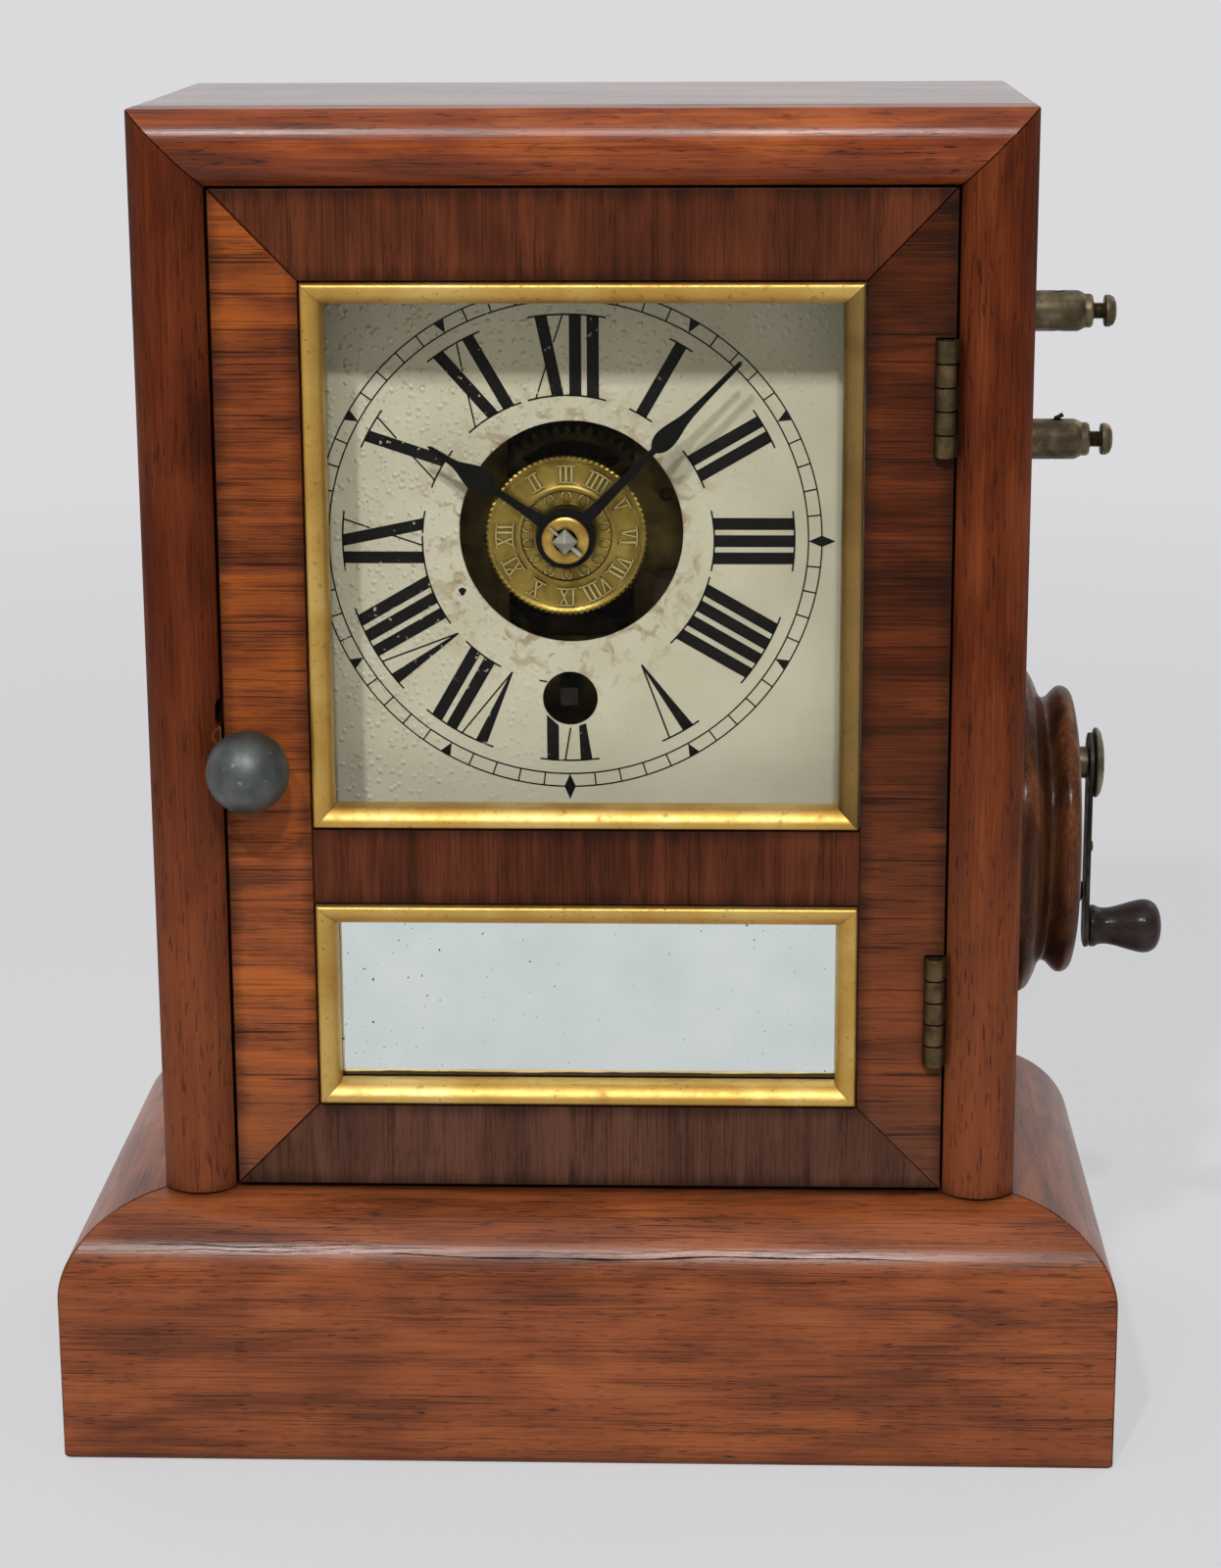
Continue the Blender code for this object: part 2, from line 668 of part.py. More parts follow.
def make_hinge(name, height, brass, steel):
    """Add a butt hinge: the case leaf, the door leaf and the pin through their knuckles."""
    pitch = HINGE_LENGTH / HINGE_KNUCKLES
    axis_y = at_depth(-HINGE_AXIS_PROUD)
    place = (HINGE_X, axis_y, height - HINGE_LENGTH / 2)
    eye = bore_radius(HINGE_PIN_RADIUS, SMALL)
    door_plate = (DOOR_HALF - LEAF_THICKNESS - HINGE_X, DOOR_HALF - HINGE_X)
    case_plate = (DOORWAY_HALF - HINGE_X, DOORWAY_HALF + LEAF_THICKNESS - HINGE_X)
    start = KNUCKLE_RADIUS / 2
    for leaf, parity, plate in (("case", 0, case_plate), ("door", 1, door_plate)):
        node_name = f"{name}_{leaf}_leaf"
        plate_start = start + parity * (LEAF_THICKNESS + SEAT)
        tab_end = start + LEAF_THICKNESS + parity * 2 * SEAT
        deep = LEAF_DEPTH + HINGE_AXIS_PROUD
        mesh = block(node_name, (plate[0], plate_start, 0.0), (plate[1], deep, HINGE_LENGTH))
        piece = node(node_name, mesh, brass, place)
        for i in range(parity, HINGE_KNUCKLES, 2):
            low = i * pitch + (SEAT / 2 if i else 0.0)
            high = (i + 1) * pitch - (SEAT / 2 if i < HINGE_KNUCKLES - 1 else 0.0)
            tab = block("tab", (eye, start, low), (plate[1], tab_end, high))
            barrel = turned("knuckle", [(KNUCKLE_RADIUS, high), (KNUCKLE_RADIUS, low)], ROUND, "Z")
            shape(piece, "UNION", tab, barrel)
        shape(piece, "DIFFERENCE", turned("bore", [(eye, -pitch), (eye, HINGE_LENGTH + pitch)], SMALL, "Z"))
    pin = turned(f"{name}_pin", [(HINGE_PIN_RADIUS, HINGE_LENGTH), (HINGE_PIN_RADIUS, 0.0)], SMALL, "Z")
    node(f"{name}_pin", pin, steel, place, smooth=True)


def make_knob(pewter, brass):
    """Add the ball knob with its spindle, and the latch behind the door that it turns."""
    place = (KNOB_X, 0.0, KNOB_Z)
    face = at_depth(DOOR_SETBACK - SEAT)
    centre = face - KNOB_NECK_LENGTH - KNOB_RADIUS * 0.93
    latch_front = at_depth(DOOR_BACK + 2 * SEAT)
    end = latch_front + LATCH_THICKNESS + SPINDLE_RADIUS
    profile = [(0.0, end), (SPINDLE_RADIUS, end), (SPINDLE_RADIUS, face), (KNOB_NECK_RADIUS * 1.3, face)]
    profile.append((KNOB_NECK_RADIUS, face - KNOB_NECK_LENGTH))
    start = math.asin(KNOB_NECK_RADIUS / KNOB_RADIUS)
    steps = ARC_STEPS + 2
    for i in range(1, steps):
        angle = start + (math.pi - start) * i / steps
        profile.append((KNOB_RADIUS * math.sin(angle), centre + KNOB_RADIUS * math.cos(angle)))
    profile.append((0.0, centre - KNOB_RADIUS))
    node("door_knob", turned("door_knob", profile, FINE - ROUND // 2), pewter, place, smooth=True)
    half = LATCH_WIDTH / 2
    outline = circle(half, ROUND)[:ROUND // 2 + 1]
    outline += [(-half * 0.7, half - LATCH_LENGTH), (0.0, -LATCH_LENGTH), (half * 0.7, half - LATCH_LENGTH)]
    hole = bore(SPINDLE_RADIUS, ROUND)
    latch = prism("door_latch", outline, latch_front, latch_front + LATCH_THICKNESS, [hole])
    node("door_latch", latch, brass, place)


# Wheels

def pitch_radii(wheel, pinion, centres):
    """Return the pitch radii of a wheel and its pinion."""
    return centres * wheel / (wheel + pinion), centres * pinion / (wheel + pinion)


def tooth_outline(teeth, radius, space_at, flat):
    """Return a wheel's outline of flat or pointed teeth, with a space at the given angle."""
    pitch = 2 * math.pi * radius / teeth
    root = radius - DEDENDUM_SHARE * pitch
    tip = radius + ADDENDUM_SHARE * pitch
    root_half = math.degrees(TOOTH_ROOT_SHARE * pitch / 2 / root)
    tip_half = math.degrees(TOOTH_TIP_SHARE * pitch / 2 / tip)
    points = []
    for i in range(teeth):
        middle = space_at + 360.0 * (i + 0.5) / teeth
        points.append(polar(root, middle - root_half))
        points += [polar(tip, middle + side * tip_half) for side in ((-1, 1) if flat else (0,))]
        points.append(polar(root, middle + root_half))
    return points, root


def spoke_windows(root, hub, spokes=4):
    """Return the openings between a wheel's hub, spokes and rim."""
    rim = root - RIM_WIDTH
    windows = []
    for i in range(spokes):
        middle = 360.0 * i / spokes
        window = []
        for radius, steps in ((rim, 4), (hub, -2)):
            half = 180.0 / spokes - math.degrees(math.asin(SPOKE_WIDTH / 2 / radius))
            count = abs(steps)
            order = range(count + 1) if steps > 0 else range(count, -1, -1)
            window += [polar(radius, middle - half + 2 * half * k / count) for k in order]
        windows.append(window)
    return windows


def wheel(name, teeth, radius, space_at, depth, thickness, hub, eye, flat=False):
    """Return a spoked wheel's plate."""
    outline, root = tooth_outline(teeth, radius, space_at, flat)
    holes = [circle(eye, ROUND)] if eye else []
    if root - RIM_WIDTH > 1.6 * hub:
        holes += spoke_windows(root, hub)
    return prism(name, outline, at_depth(depth), at_depth(depth + thickness), holes)


def pins(name, count, radius, pitch, first_at, near, far):
    """Return the round trundles of a lantern pinion as one mesh."""
    places = [polar(radius, first_at + 360.0 * i / count) for i in range(count)]
    outlines = [circle(PIN_SHARE * pitch, TRUNDLE_SIDES, place) for place in places]
    return prisms(name, outlines, at_depth(near), at_depth(far))


def spindle(name, steps, sides=ROUND):
    """Turn an arbor from (radius, depth) pairs, solid to its axis."""
    profile = [(0.0, steps[0][1]), *steps, (0.0, steps[-1][1])]
    return turned(name, [(radius, at_depth(depth)) for radius, depth in profile], sides)


def arbor_place(place):
    """Return the world place of a point of the movement."""
    return ARBOR_X + place[0], 0.0, ARBOR_Z + place[1]


def lantern_steps(radius, pitch, low, core):
    """Return the arbor's steps through a lantern pinion: shroud, core, shroud."""
    shroud = radius + 1.6 * PIN_SHARE * pitch
    high = low + PINION_LENGTH
    return [(core, low), (shroud, low), (shroud, low + SHROUD_THICKNESS), (core, low + SHROUD_THICKNESS),
            (core, high - SHROUD_THICKNESS), (shroud, high - SHROUD_THICKNESS), (shroud, high), (core, high)]


def pinion_low(depth, thickness):
    """Return where a pinion starts so that a wheel's rim runs at its middle."""
    return depth + thickness / 2 - PINION_LENGTH / 2


def make_centre(brass, steel):
    """Add the centre arbor with its wheel, its pinion, the cannon pinion and the squared end."""
    great_radius, pinion_radius = pitch_radii(GREAT_TEETH, CENTRE_PINION, WINDING_BELOW)
    great_pitch = 2 * math.pi * great_radius / GREAT_TEETH
    minute_radius, cannon_radius = pitch_radii(MINUTE_TEETH, CANNON_PINION, MOTION_CENTRES)
    minute_pitch = 2 * math.pi * minute_radius / MINUTE_TEETH
    radius = CENTRE_ARBOR_RADIUS
    great_low = pinion_low(GREAT_WHEEL_DEPTH, GREAT_THICKNESS)
    cannon_low = pinion_low(MINUTE_WHEEL_DEPTH, WHEEL_THICKNESS)
    square_end = MINUTE_HAND_DEPTH + HAND_THICKNESS + SEAT
    shoulder = HOUR_WHEEL_DEPTH + WHEEL_THICKNESS + 2 * SEAT
    steps = [(HAND_ARBOR_RADIUS, square_end), (HAND_ARBOR_RADIUS, shoulder), (radius, shoulder)]
    steps += lantern_steps(cannon_radius, minute_pitch, cannon_low, radius)
    steps += lantern_steps(pinion_radius, great_pitch, great_low, radius)
    steps += [(radius, BACK_PLATE - SEAT), (PIVOT_RADIUS, BACK_PLATE - SEAT), (PIVOT_RADIUS, BACK_PLATE_BACK)]
    piece = node("centre_wheel", spindle("centre_wheel", steps), brass, arbor_place(CENTRE), smooth=True)
    centre_radius = pitch_radii(CENTRE_TEETH, THIRD_PINION, THIRD_CENTRES)[0]
    hub = 3 * radius
    plate = wheel("plate", CENTRE_TEETH, centre_radius, THIRD_DIRECTION, CENTRE_WHEEL_DEPTH, WHEEL_THICKNESS,
                  hub, 0.0, True)
    inset = SHROUD_THICKNESS / 2
    great_pins = pins("pins", CENTRE_PINION, pinion_radius, great_pitch, -90.0, great_low + inset,
                      great_low + PINION_LENGTH - inset)
    cannon_pins = pins("cannon", CANNON_PINION, cannon_radius, minute_pitch, MOTION_DIRECTION,
                       cannon_low + inset, cannon_low + PINION_LENGTH - inset)
    half = HAND_ARBOR_RADIUS - RUNNING
    pointed = [(0.0, ARBOR_TIP_DEPTH), (half, ARBOR_TIP_DEPTH + ARBOR_POINT), (half, square_end + SEAT)]
    square = turned("square", [(r, at_depth(d)) for r, d in pointed], 4)
    shape(piece, "UNION", plate, great_pins, cannon_pins, square)
    pin_depth = MINUTE_HAND_DEPTH - SEAT - COLLET_THICKNESS - SEAT - HAND_PIN_RADIUS
    return pin_depth, piece


def make_hands(blued, brass, steel):
    """Add the leaf hands, the collet and the tapered pin, and the hole for the pin."""
    pin_depth, arbor = make_centre(brass, steel)
    minute_turn = MINUTES_PAST * 6.0
    hour_turn = (HOUR_SHOWN + MINUTES_PAST / 60.0) * 30.0
    place = arbor_place(CENTRE)
    square_hole = circle(HAND_ARBOR_RADIUS + RUNNING, 4, CENTRE, minute_turn)
    round_hole = bore(HOUR_PIPE_RADIUS, ROUND)
    hands = (
        ("minute_hand", hand_outline(MINUTE_HAND_LENGTH, MINUTE_LEAF_WIDTH, MINUTE_LEAF), MINUTE_HAND_DEPTH,
         minute_turn, square_hole),
        ("hour_hand", hand_outline(HOUR_HAND_LENGTH, HOUR_LEAF_WIDTH, HOUR_LEAF), HOUR_HAND_DEPTH,
         hour_turn, round_hole),
    )
    for name, outline, depth, turn, hole in hands:
        mesh = prism(name, outline, at_depth(depth), at_depth(depth + HAND_THICKNESS), [hole])
        node(name, mesh, blued, place, turn)
    back = MINUTE_HAND_DEPTH - SEAT
    front = back - COLLET_THICKNESS
    inner = HAND_ARBOR_RADIUS + RUNNING
    dish = [(inner, front), (inner, back), (COLLET_RADIUS, back), (COLLET_RADIUS, (front + back) / 2)]
    dish.append((0.7 * COLLET_RADIUS, front))
    collet = turned("hand_collet", [(r, at_depth(d)) for r, d in dish], FINE - SMALL, hollow=True)
    node("hand_collet", collet, brass, place, smooth=True)
    taper = [(0.4 * HAND_PIN_RADIUS, -HAND_PIN_LENGTH / 2), (HAND_PIN_RADIUS, HAND_PIN_LENGTH / 2)]
    pin_place = (place[0], at_depth(pin_depth), place[2])
    pin = node("hand_pin", turned("hand_pin", taper, SMALL, "X"), steel, pin_place, HAND_PIN_ANGLE, smooth=True)
    reach = HAND_PIN_RADIUS + RUNNING
    way = [(reach, -HAND_PIN_LENGTH), (reach, HAND_PIN_LENGTH)]
    hole = turned("pin_hole", way, SMALL, "X", (0.0, at_depth(pin_depth), 0.0))
    hole.transform(pin.rotation_euler.to_matrix().to_4x4())
    shape(arbor, "DIFFERENCE", hole)


# Shares of a hand's length and of its leaf's width, from the neck to the blunt point
MINUTE_LEAF = ((0.485, 0.31), (0.52, 0.7), (0.566, 1.0), (0.62, 0.8), (0.69, 0.46), (0.8, 0.3), (1.0, 0.21))
HOUR_LEAF = ((0.528, 0.27), (0.56, 0.72), (0.645, 1.0), (0.7, 0.82), (0.78, 0.38), (0.86, 0.25), (1.0, 0.16))


def hand_outline(length, width, leaf):
    """Return a leaf hand pointing up: boss, tapering arm, leaf and long fine point."""
    arm = HAND_ARM_WIDTH / 2
    lift = math.sqrt(HAND_BOSS_RADIUS ** 2 - arm ** 2)
    side = [(arm, lift)] + [(width / 2 * across, along * length) for along, across in leaf]
    start = math.degrees(math.atan2(side[0][1], side[0][0]))
    sweep = 180.0 + 2 * start
    boss = [polar(HAND_BOSS_RADIUS, start - sweep * i / FINE) for i in range(1, FINE)]
    left = [(-u, v) for u, v in side]
    return [*side[::-1], *boss, *left]


def make_motion_work(brass, steel):
    """Add the minute wheel with its pinion, and the hour wheel with the pipe for the hour hand."""
    minute_radius, cannon_radius = pitch_radii(MINUTE_TEETH, CANNON_PINION, MOTION_CENTRES)
    hour_radius, pinion_radius = pitch_radii(HOUR_TEETH, MINUTE_PINION, MOTION_CENTRES)
    hour_pitch = 2 * math.pi * hour_radius / HOUR_TEETH
    eye = bore_radius(PIVOT_RADIUS, ROUND)
    pipe = eye + RUNNING + PIVOT_RADIUS / 2
    low = HOUR_WHEEL_DEPTH - WHEEL_THICKNESS - SHROUD_THICKNESS
    high = PLATE_DEPTH - SEAT
    shroud = pinion_radius + 1.5 * PIN_SHARE * hour_pitch
    profile = [(eye, low), (shroud, low), (shroud, low + SHROUD_THICKNESS), (pipe, low + SHROUD_THICKNESS)]
    profile += [(pipe, high), (eye, high)]
    mesh = turned("minute_wheel", [(r, at_depth(d)) for r, d in profile[::-1]], ROUND, hollow=True)
    piece = node("minute_wheel", mesh, brass, arbor_place(MOTION), smooth=True)
    plate = wheel("plate", MINUTE_TEETH, minute_radius, MOTION_DIRECTION + 180.0, MINUTE_WHEEL_DEPTH,
                  WHEEL_THICKNESS, minute_radius, (eye + pipe) / 2)
    trundles = pins("pins", MINUTE_PINION, pinion_radius, hour_pitch, MOTION_DIRECTION + 180.0,
                    low + SHROUD_THICKNESS / 2, MINUTE_WHEEL_DEPTH + WHEEL_THICKNESS / 2)
    shape(piece, "UNION", plate, trundles)
    inner = bore_radius(HAND_ARBOR_RADIUS, ROUND)
    back = HOUR_WHEEL_DEPTH + WHEEL_THICKNESS + SEAT
    front = HOUR_HAND_DEPTH - HAND_THICKNESS
    tube = [(inner, back), (inner, front), (HOUR_PIPE_RADIUS, front), (HOUR_PIPE_RADIUS, back)]
    mesh = turned("hour_wheel", [(r, at_depth(d)) for r, d in tube[::-1]], ROUND, hollow=True)
    hour = node("hour_wheel", mesh, brass, arbor_place(CENTRE), smooth=True)
    disc = wheel("disc", HOUR_TEETH, hour_radius, MOTION_DIRECTION, HOUR_WHEEL_DEPTH, WHEEL_THICKNESS,
                 hour_radius, (inner + HOUR_PIPE_RADIUS) / 2)
    shape(hour, "UNION", disc)


def make_alarm(brass, fibre):
    """Add the alarm disc with its hub and notched cam, and the contact strip beside the cam."""
    eye = bore_radius(HOUR_PIPE_RADIUS, ROUND)
    back = ALARM_CAM_DEPTH + WHEEL_THICKNESS
    face = ALARM_DEPTH - SEAT
    end = back + SEAT
    hub = [(eye, face), (eye, end), (ALARM_HUB_RADIUS, end), (ALARM_HUB_RADIUS, face)]
    mesh = turned("alarm_disc", [(r, at_depth(d)) for r, d in hub], ROUND, hollow=True)
    piece = node("alarm_disc", mesh, brass, arbor_place(CENTRE), smooth=True)
    radii = (0.985 * ALARM_RADIUS, ALARM_RADIUS)
    milled = [polar(radii[i % 2], 180.0 * i / ALARM_TEETH) for i in range(2 * ALARM_TEETH)]
    core = circle((eye + ALARM_HUB_RADIUS) / 2, ROUND)
    disc = prism("disc", milled, at_depth(ALARM_DEPTH), at_depth(ALARM_DEPTH + ALARM_THICKNESS), [core])
    notched = [polar(ALARM_CAM_RADIUS * (0.75 if i < 2 else 1.0), 360.0 * i / FINE) for i in range(FINE)]
    cam = prism("cam", notched, at_depth(ALARM_CAM_DEPTH), at_depth(back), [core])
    shape(piece, "UNION", disc, cam)
    half = CONTACT_BLOCK / 2
    low = (CONTACT_BLOCK_X - half, at_depth(ALARM_CAM_DEPTH), CONTACT_BLOCK_Z - half)
    high = (CONTACT_BLOCK_X + half, at_depth(PLATE_DEPTH - SEAT), CONTACT_BLOCK_Z + half)
    contact = node("alarm_contact", block("alarm_contact", low, high), fibre, arbor_place(CENTRE))
    touch = math.degrees(math.atan2(CONTACT_BLOCK_Z, CONTACT_BLOCK_X))
    near = ALARM_CAM_RADIUS + SEAT + CONTACT_STRIP_THICKNESS
    path = [(CONTACT_BLOCK_X, CONTACT_BLOCK_Z + half / 2), offset(polar(near, touch), half, touch + 30.0)]
    path += [polar(near, touch), offset(polar(near, touch), half, touch + 90.0)]
    leaf = strip("leaf", path, CONTACT_STRIP_THICKNESS, at_depth(ALARM_CAM_DEPTH), at_depth(back))
    shape(contact, "UNION", leaf)


def make_great_wheel(brass, steel):
    """Add the great wheel, the winding arbor with its ratchet, and the click between them."""
    radius = pitch_radii(GREAT_TEETH, CENTRE_PINION, WINDING_BELOW)[0]
    place = arbor_place(WINDING)
    back = GREAT_WHEEL_DEPTH + GREAT_THICKNESS
    eye = bore_radius(WINDING_ARBOR_RADIUS, ROUND)
    plate = wheel("great_wheel", GREAT_TEETH, radius, 90.0, GREAT_WHEEL_DEPTH, GREAT_THICKNESS,
                  RATCHET_RADIUS * 1.75, eye)
    great = node("great_wheel", plate, brass, place)
    click_at = polar(RATCHET_RADIUS + CLICK_LENGTH * 0.55, 45.0)
    screw_back = back + SEAT + RATCHET_THICKNESS + SEAT
    stud = [(CLICK_SCREW_RADIUS, back - GREAT_THICKNESS / 2), (CLICK_SCREW_RADIUS, screw_back)]
    head = 1.8 * CLICK_SCREW_RADIUS
    stud += [(head, screw_back), (head, screw_back + RATCHET_THICKNESS / 2)]
    screw = turned("screw", [(r, at_depth(d)) for r, d in stud], ROUND, "Y", (click_at[0], 0.0, click_at[1]))
    shape(great, "UNION", screw)
    ratchet_front = back + SEAT
    ratchet_back = ratchet_front + RATCHET_THICKNESS
    front_journal = PLATE_DEPTH - SEAT
    journal = WINDING_SQUARE / math.sqrt(2) + RUNNING
    steps = [(journal, front_journal), (journal, FRONT_PLATE_BACK + SEAT)]
    steps += [(WINDING_ARBOR_RADIUS, FRONT_PLATE_BACK + SEAT), (WINDING_ARBOR_RADIUS, BACK_PLATE - SEAT)]
    steps += [(2 * PIVOT_RADIUS, BACK_PLATE - SEAT), (2 * PIVOT_RADIUS, BACK_PLATE_BACK)]
    arbor = node("winding_arbor", spindle("winding_arbor", steps), steel, place, smooth=True)
    tip = DIAL_DEPTH + DIAL_THICKNESS + 4 * SEAT
    corners = circle(WINDING_SQUARE / math.sqrt(2), 4, CENTRE, 45.0)
    square = prism("square", corners, at_depth(tip), at_depth(front_journal + SEAT))
    teeth = []
    for i in range(RATCHET_TEETH):
        angle = 360.0 * i / RATCHET_TEETH
        teeth += [polar(RATCHET_RADIUS, angle), polar(0.84 * RATCHET_RADIUS, angle + 1.0)]
    ratchet = prism("ratchet", teeth, at_depth(ratchet_front), at_depth(ratchet_back))
    shape(arbor, "UNION", square, ratchet)
    nose = polar(RATCHET_RADIUS + SEAT, 45.0 + math.degrees(0.6 * CLICK_LENGTH / RATCHET_RADIUS))
    nose = (nose[0] - click_at[0], nose[1] - click_at[1])
    lean = math.degrees(math.atan2(nose[1], nose[0]))
    reach = math.hypot(*nose)
    heel = [polar(2 * CLICK_SCREW_RADIUS, lean + 80.0 + 200.0 * i / SMALL) for i in range(SMALL + 1)]
    outline = [polar(reach, lean), *heel, polar(0.8 * reach, lean - 14.0)]
    hole = bore(CLICK_SCREW_RADIUS, ROUND)
    click = prism("click", outline, at_depth(ratchet_front), at_depth(ratchet_back), [hole])
    node("click", click, steel, (place[0] + click_at[0], 0.0, place[2] + click_at[1]))


def make_mainspring(steel):
    """Add the open mainspring: a spiral strip whose outer end hooks round the lower right pillar."""
    first = WINDING_ARBOR_RADIUS + 3 * SEAT + SPRING_THICKNESS
    path = []
    for i in range(SPRING_TURNS * SPRING_STEPS + 1):
        turns = i / SPRING_STEPS
        path.append(polar(first + SPRING_PITCH * turns, 360.0 * turns - 90.0))
    gaps = [math.dist(a, b) for i, a in enumerate(path) for b in path[i + SPRING_STEPS:]]
    print(f"mainspring: least gap between turns {1000 * (min(gaps) - SPRING_THICKNESS):.2f} mm")
    post = (PILLARS[2][0] - WINDING[0], PILLARS[2][1] - WINDING[1])
    hook = PILLAR_RADIUS + SEAT + SPRING_THICKNESS / 2
    lead = (post[0], post[1] - hook)
    start = path[-1]
    run, drop = lead[0] - start[0], lead[1] - start[1]
    path += [(start[0] + run * share, start[1] + drop * share ** 2) for share in (0.25, 0.5, 0.75)]
    path += [offset(post, hook, angle) for angle in range(-90, 121, 30)]
    near = (GREAT_WHEEL_DEPTH + BACK_PLATE - SPRING_WIDTH) / 2 + 2 * RATCHET_THICKNESS
    mesh = strip("mainspring", path, SPRING_THICKNESS, at_depth(near), at_depth(near + SPRING_WIDTH))
    node("mainspring", mesh, steel, arbor_place(WINDING))


def make_third_and_escape(brass):
    """Add the third wheel and the escape wheel with their lantern pinions and arbors."""
    centre_radius, third_pinion = pitch_radii(CENTRE_TEETH, THIRD_PINION, THIRD_CENTRES)
    third_radius, escape_pinion = pitch_radii(THIRD_TEETH, ESCAPE_PINION, ESCAPE_CENTRES)
    escape_pitch = 360.0 / ESCAPE_TEETH
    rows = (
        ("third_wheel", THIRD, third_pinion, 2 * math.pi * centre_radius / CENTRE_TEETH, THIRD_PINION,
         pinion_low(CENTRE_WHEEL_DEPTH, WHEEL_THICKNESS), THIRD_DIRECTION + 180.0),
        ("escape_wheel", ESCAPE, escape_pinion, 2 * math.pi * third_radius / THIRD_TEETH, ESCAPE_PINION,
         pinion_low(THIRD_WHEEL_DEPTH, WHEEL_THICKNESS), ESCAPE_DIRECTION + 180.0),
    )
    for name, place, radius, pitch, count, low, first_at in rows:
        core = radius - (ADDENDUM_SHARE + 0.12) * pitch
        core = min(core, ARBOR_RADIUS)
        front = FRONT_PLATE_BACK + SEAT
        steps = [(PIVOT_RADIUS, PLATE_DEPTH), (PIVOT_RADIUS, front), (core, front)]
        steps += lantern_steps(radius, pitch, low, core)
        end = BACK_PLATE - SEAT
        steps += [(core, end), (PIVOT_RADIUS, end), (PIVOT_RADIUS, BACK_PLATE_BACK)]
        piece = node(name, spindle(name, steps, ROUND - 4), brass, arbor_place(place), smooth=True)
        inset = SHROUD_THICKNESS / 2
        trundles = pins("pins", count, radius, pitch, first_at, low + inset, low + PINION_LENGTH - inset)
        if name == "third_wheel":
            plate = wheel("plate", THIRD_TEETH, third_radius, ESCAPE_DIRECTION, THIRD_WHEEL_DEPTH,
                          WHEEL_THICKNESS, 3 * ARBOR_RADIUS, 0.0)
        else:
            hooked = []
            for i in range(ESCAPE_TEETH):
                tip = escape_pitch * i
                hooked += [polar(ESCAPE_RADIUS, tip), polar(0.86 * ESCAPE_RADIUS, tip + 0.25 * escape_pitch)]
            windows = spoke_windows(0.86 * ESCAPE_RADIUS, 3 * ARBOR_RADIUS, 3)
            back = ESCAPE_WHEEL_DEPTH + WHEEL_THICKNESS
            plate = prism("plate", hooked, at_depth(ESCAPE_WHEEL_DEPTH), at_depth(back), windows)
        shape(piece, "UNION", trundles, plate)


# Movement frame

def plate_windows():
    """Return the openings stamped out of a movement plate, in its own place."""
    half = PLATE_WINDOW_HALF
    edge = PLATE_HALF_WIDTH - PLATE_STRIP
    side = (edge - PILLAR_RADIUS, PLATE_HALF_WIDTH - 2 * PILLAR_RADIUS)
    tall = (CENTRE_BAR_DOWN - PLATE_BOTTOM / 2 - PLATE_STRIP, WINDOW_UP + CENTRE_BAR_UP)
    top = CENTRE_BAR_UP + WINDOW_UP
    land = 2 * OIL_SINK_RADIUS
    clear = [(half, ESCAPE[1] - land), (ESCAPE[0] - land, ESCAPE[1] - land / 2), (ESCAPE[0] - land, top)]
    windows = [
        [(-half, CENTRE_BAR_UP), (half, CENTRE_BAR_UP), *clear, (-half, top)],
        rectangle(-half, half, -WINDOW_DOWN, -CENTRE_BAR_DOWN),
        rectangle(side[0], side[1], *tall),
        rectangle(-side[1], -side[0], *tall),
    ]
    return windows


def plate_outline():
    """Return a movement plate's outline with clipped corners."""
    clip = PILLAR_RADIUS
    points = []
    for side, heights in ((1, (-PLATE_BOTTOM, PLATE_TOP)), (-1, (PLATE_TOP, -PLATE_BOTTOM))):
        for height in heights:
            inward = math.copysign(clip, height)
            corner = [(side * (PLATE_HALF_WIDTH - clip), height), (side * PLATE_HALF_WIDTH, height - inward)]
            points += corner if side * height < 0 else corner[::-1]
    return points


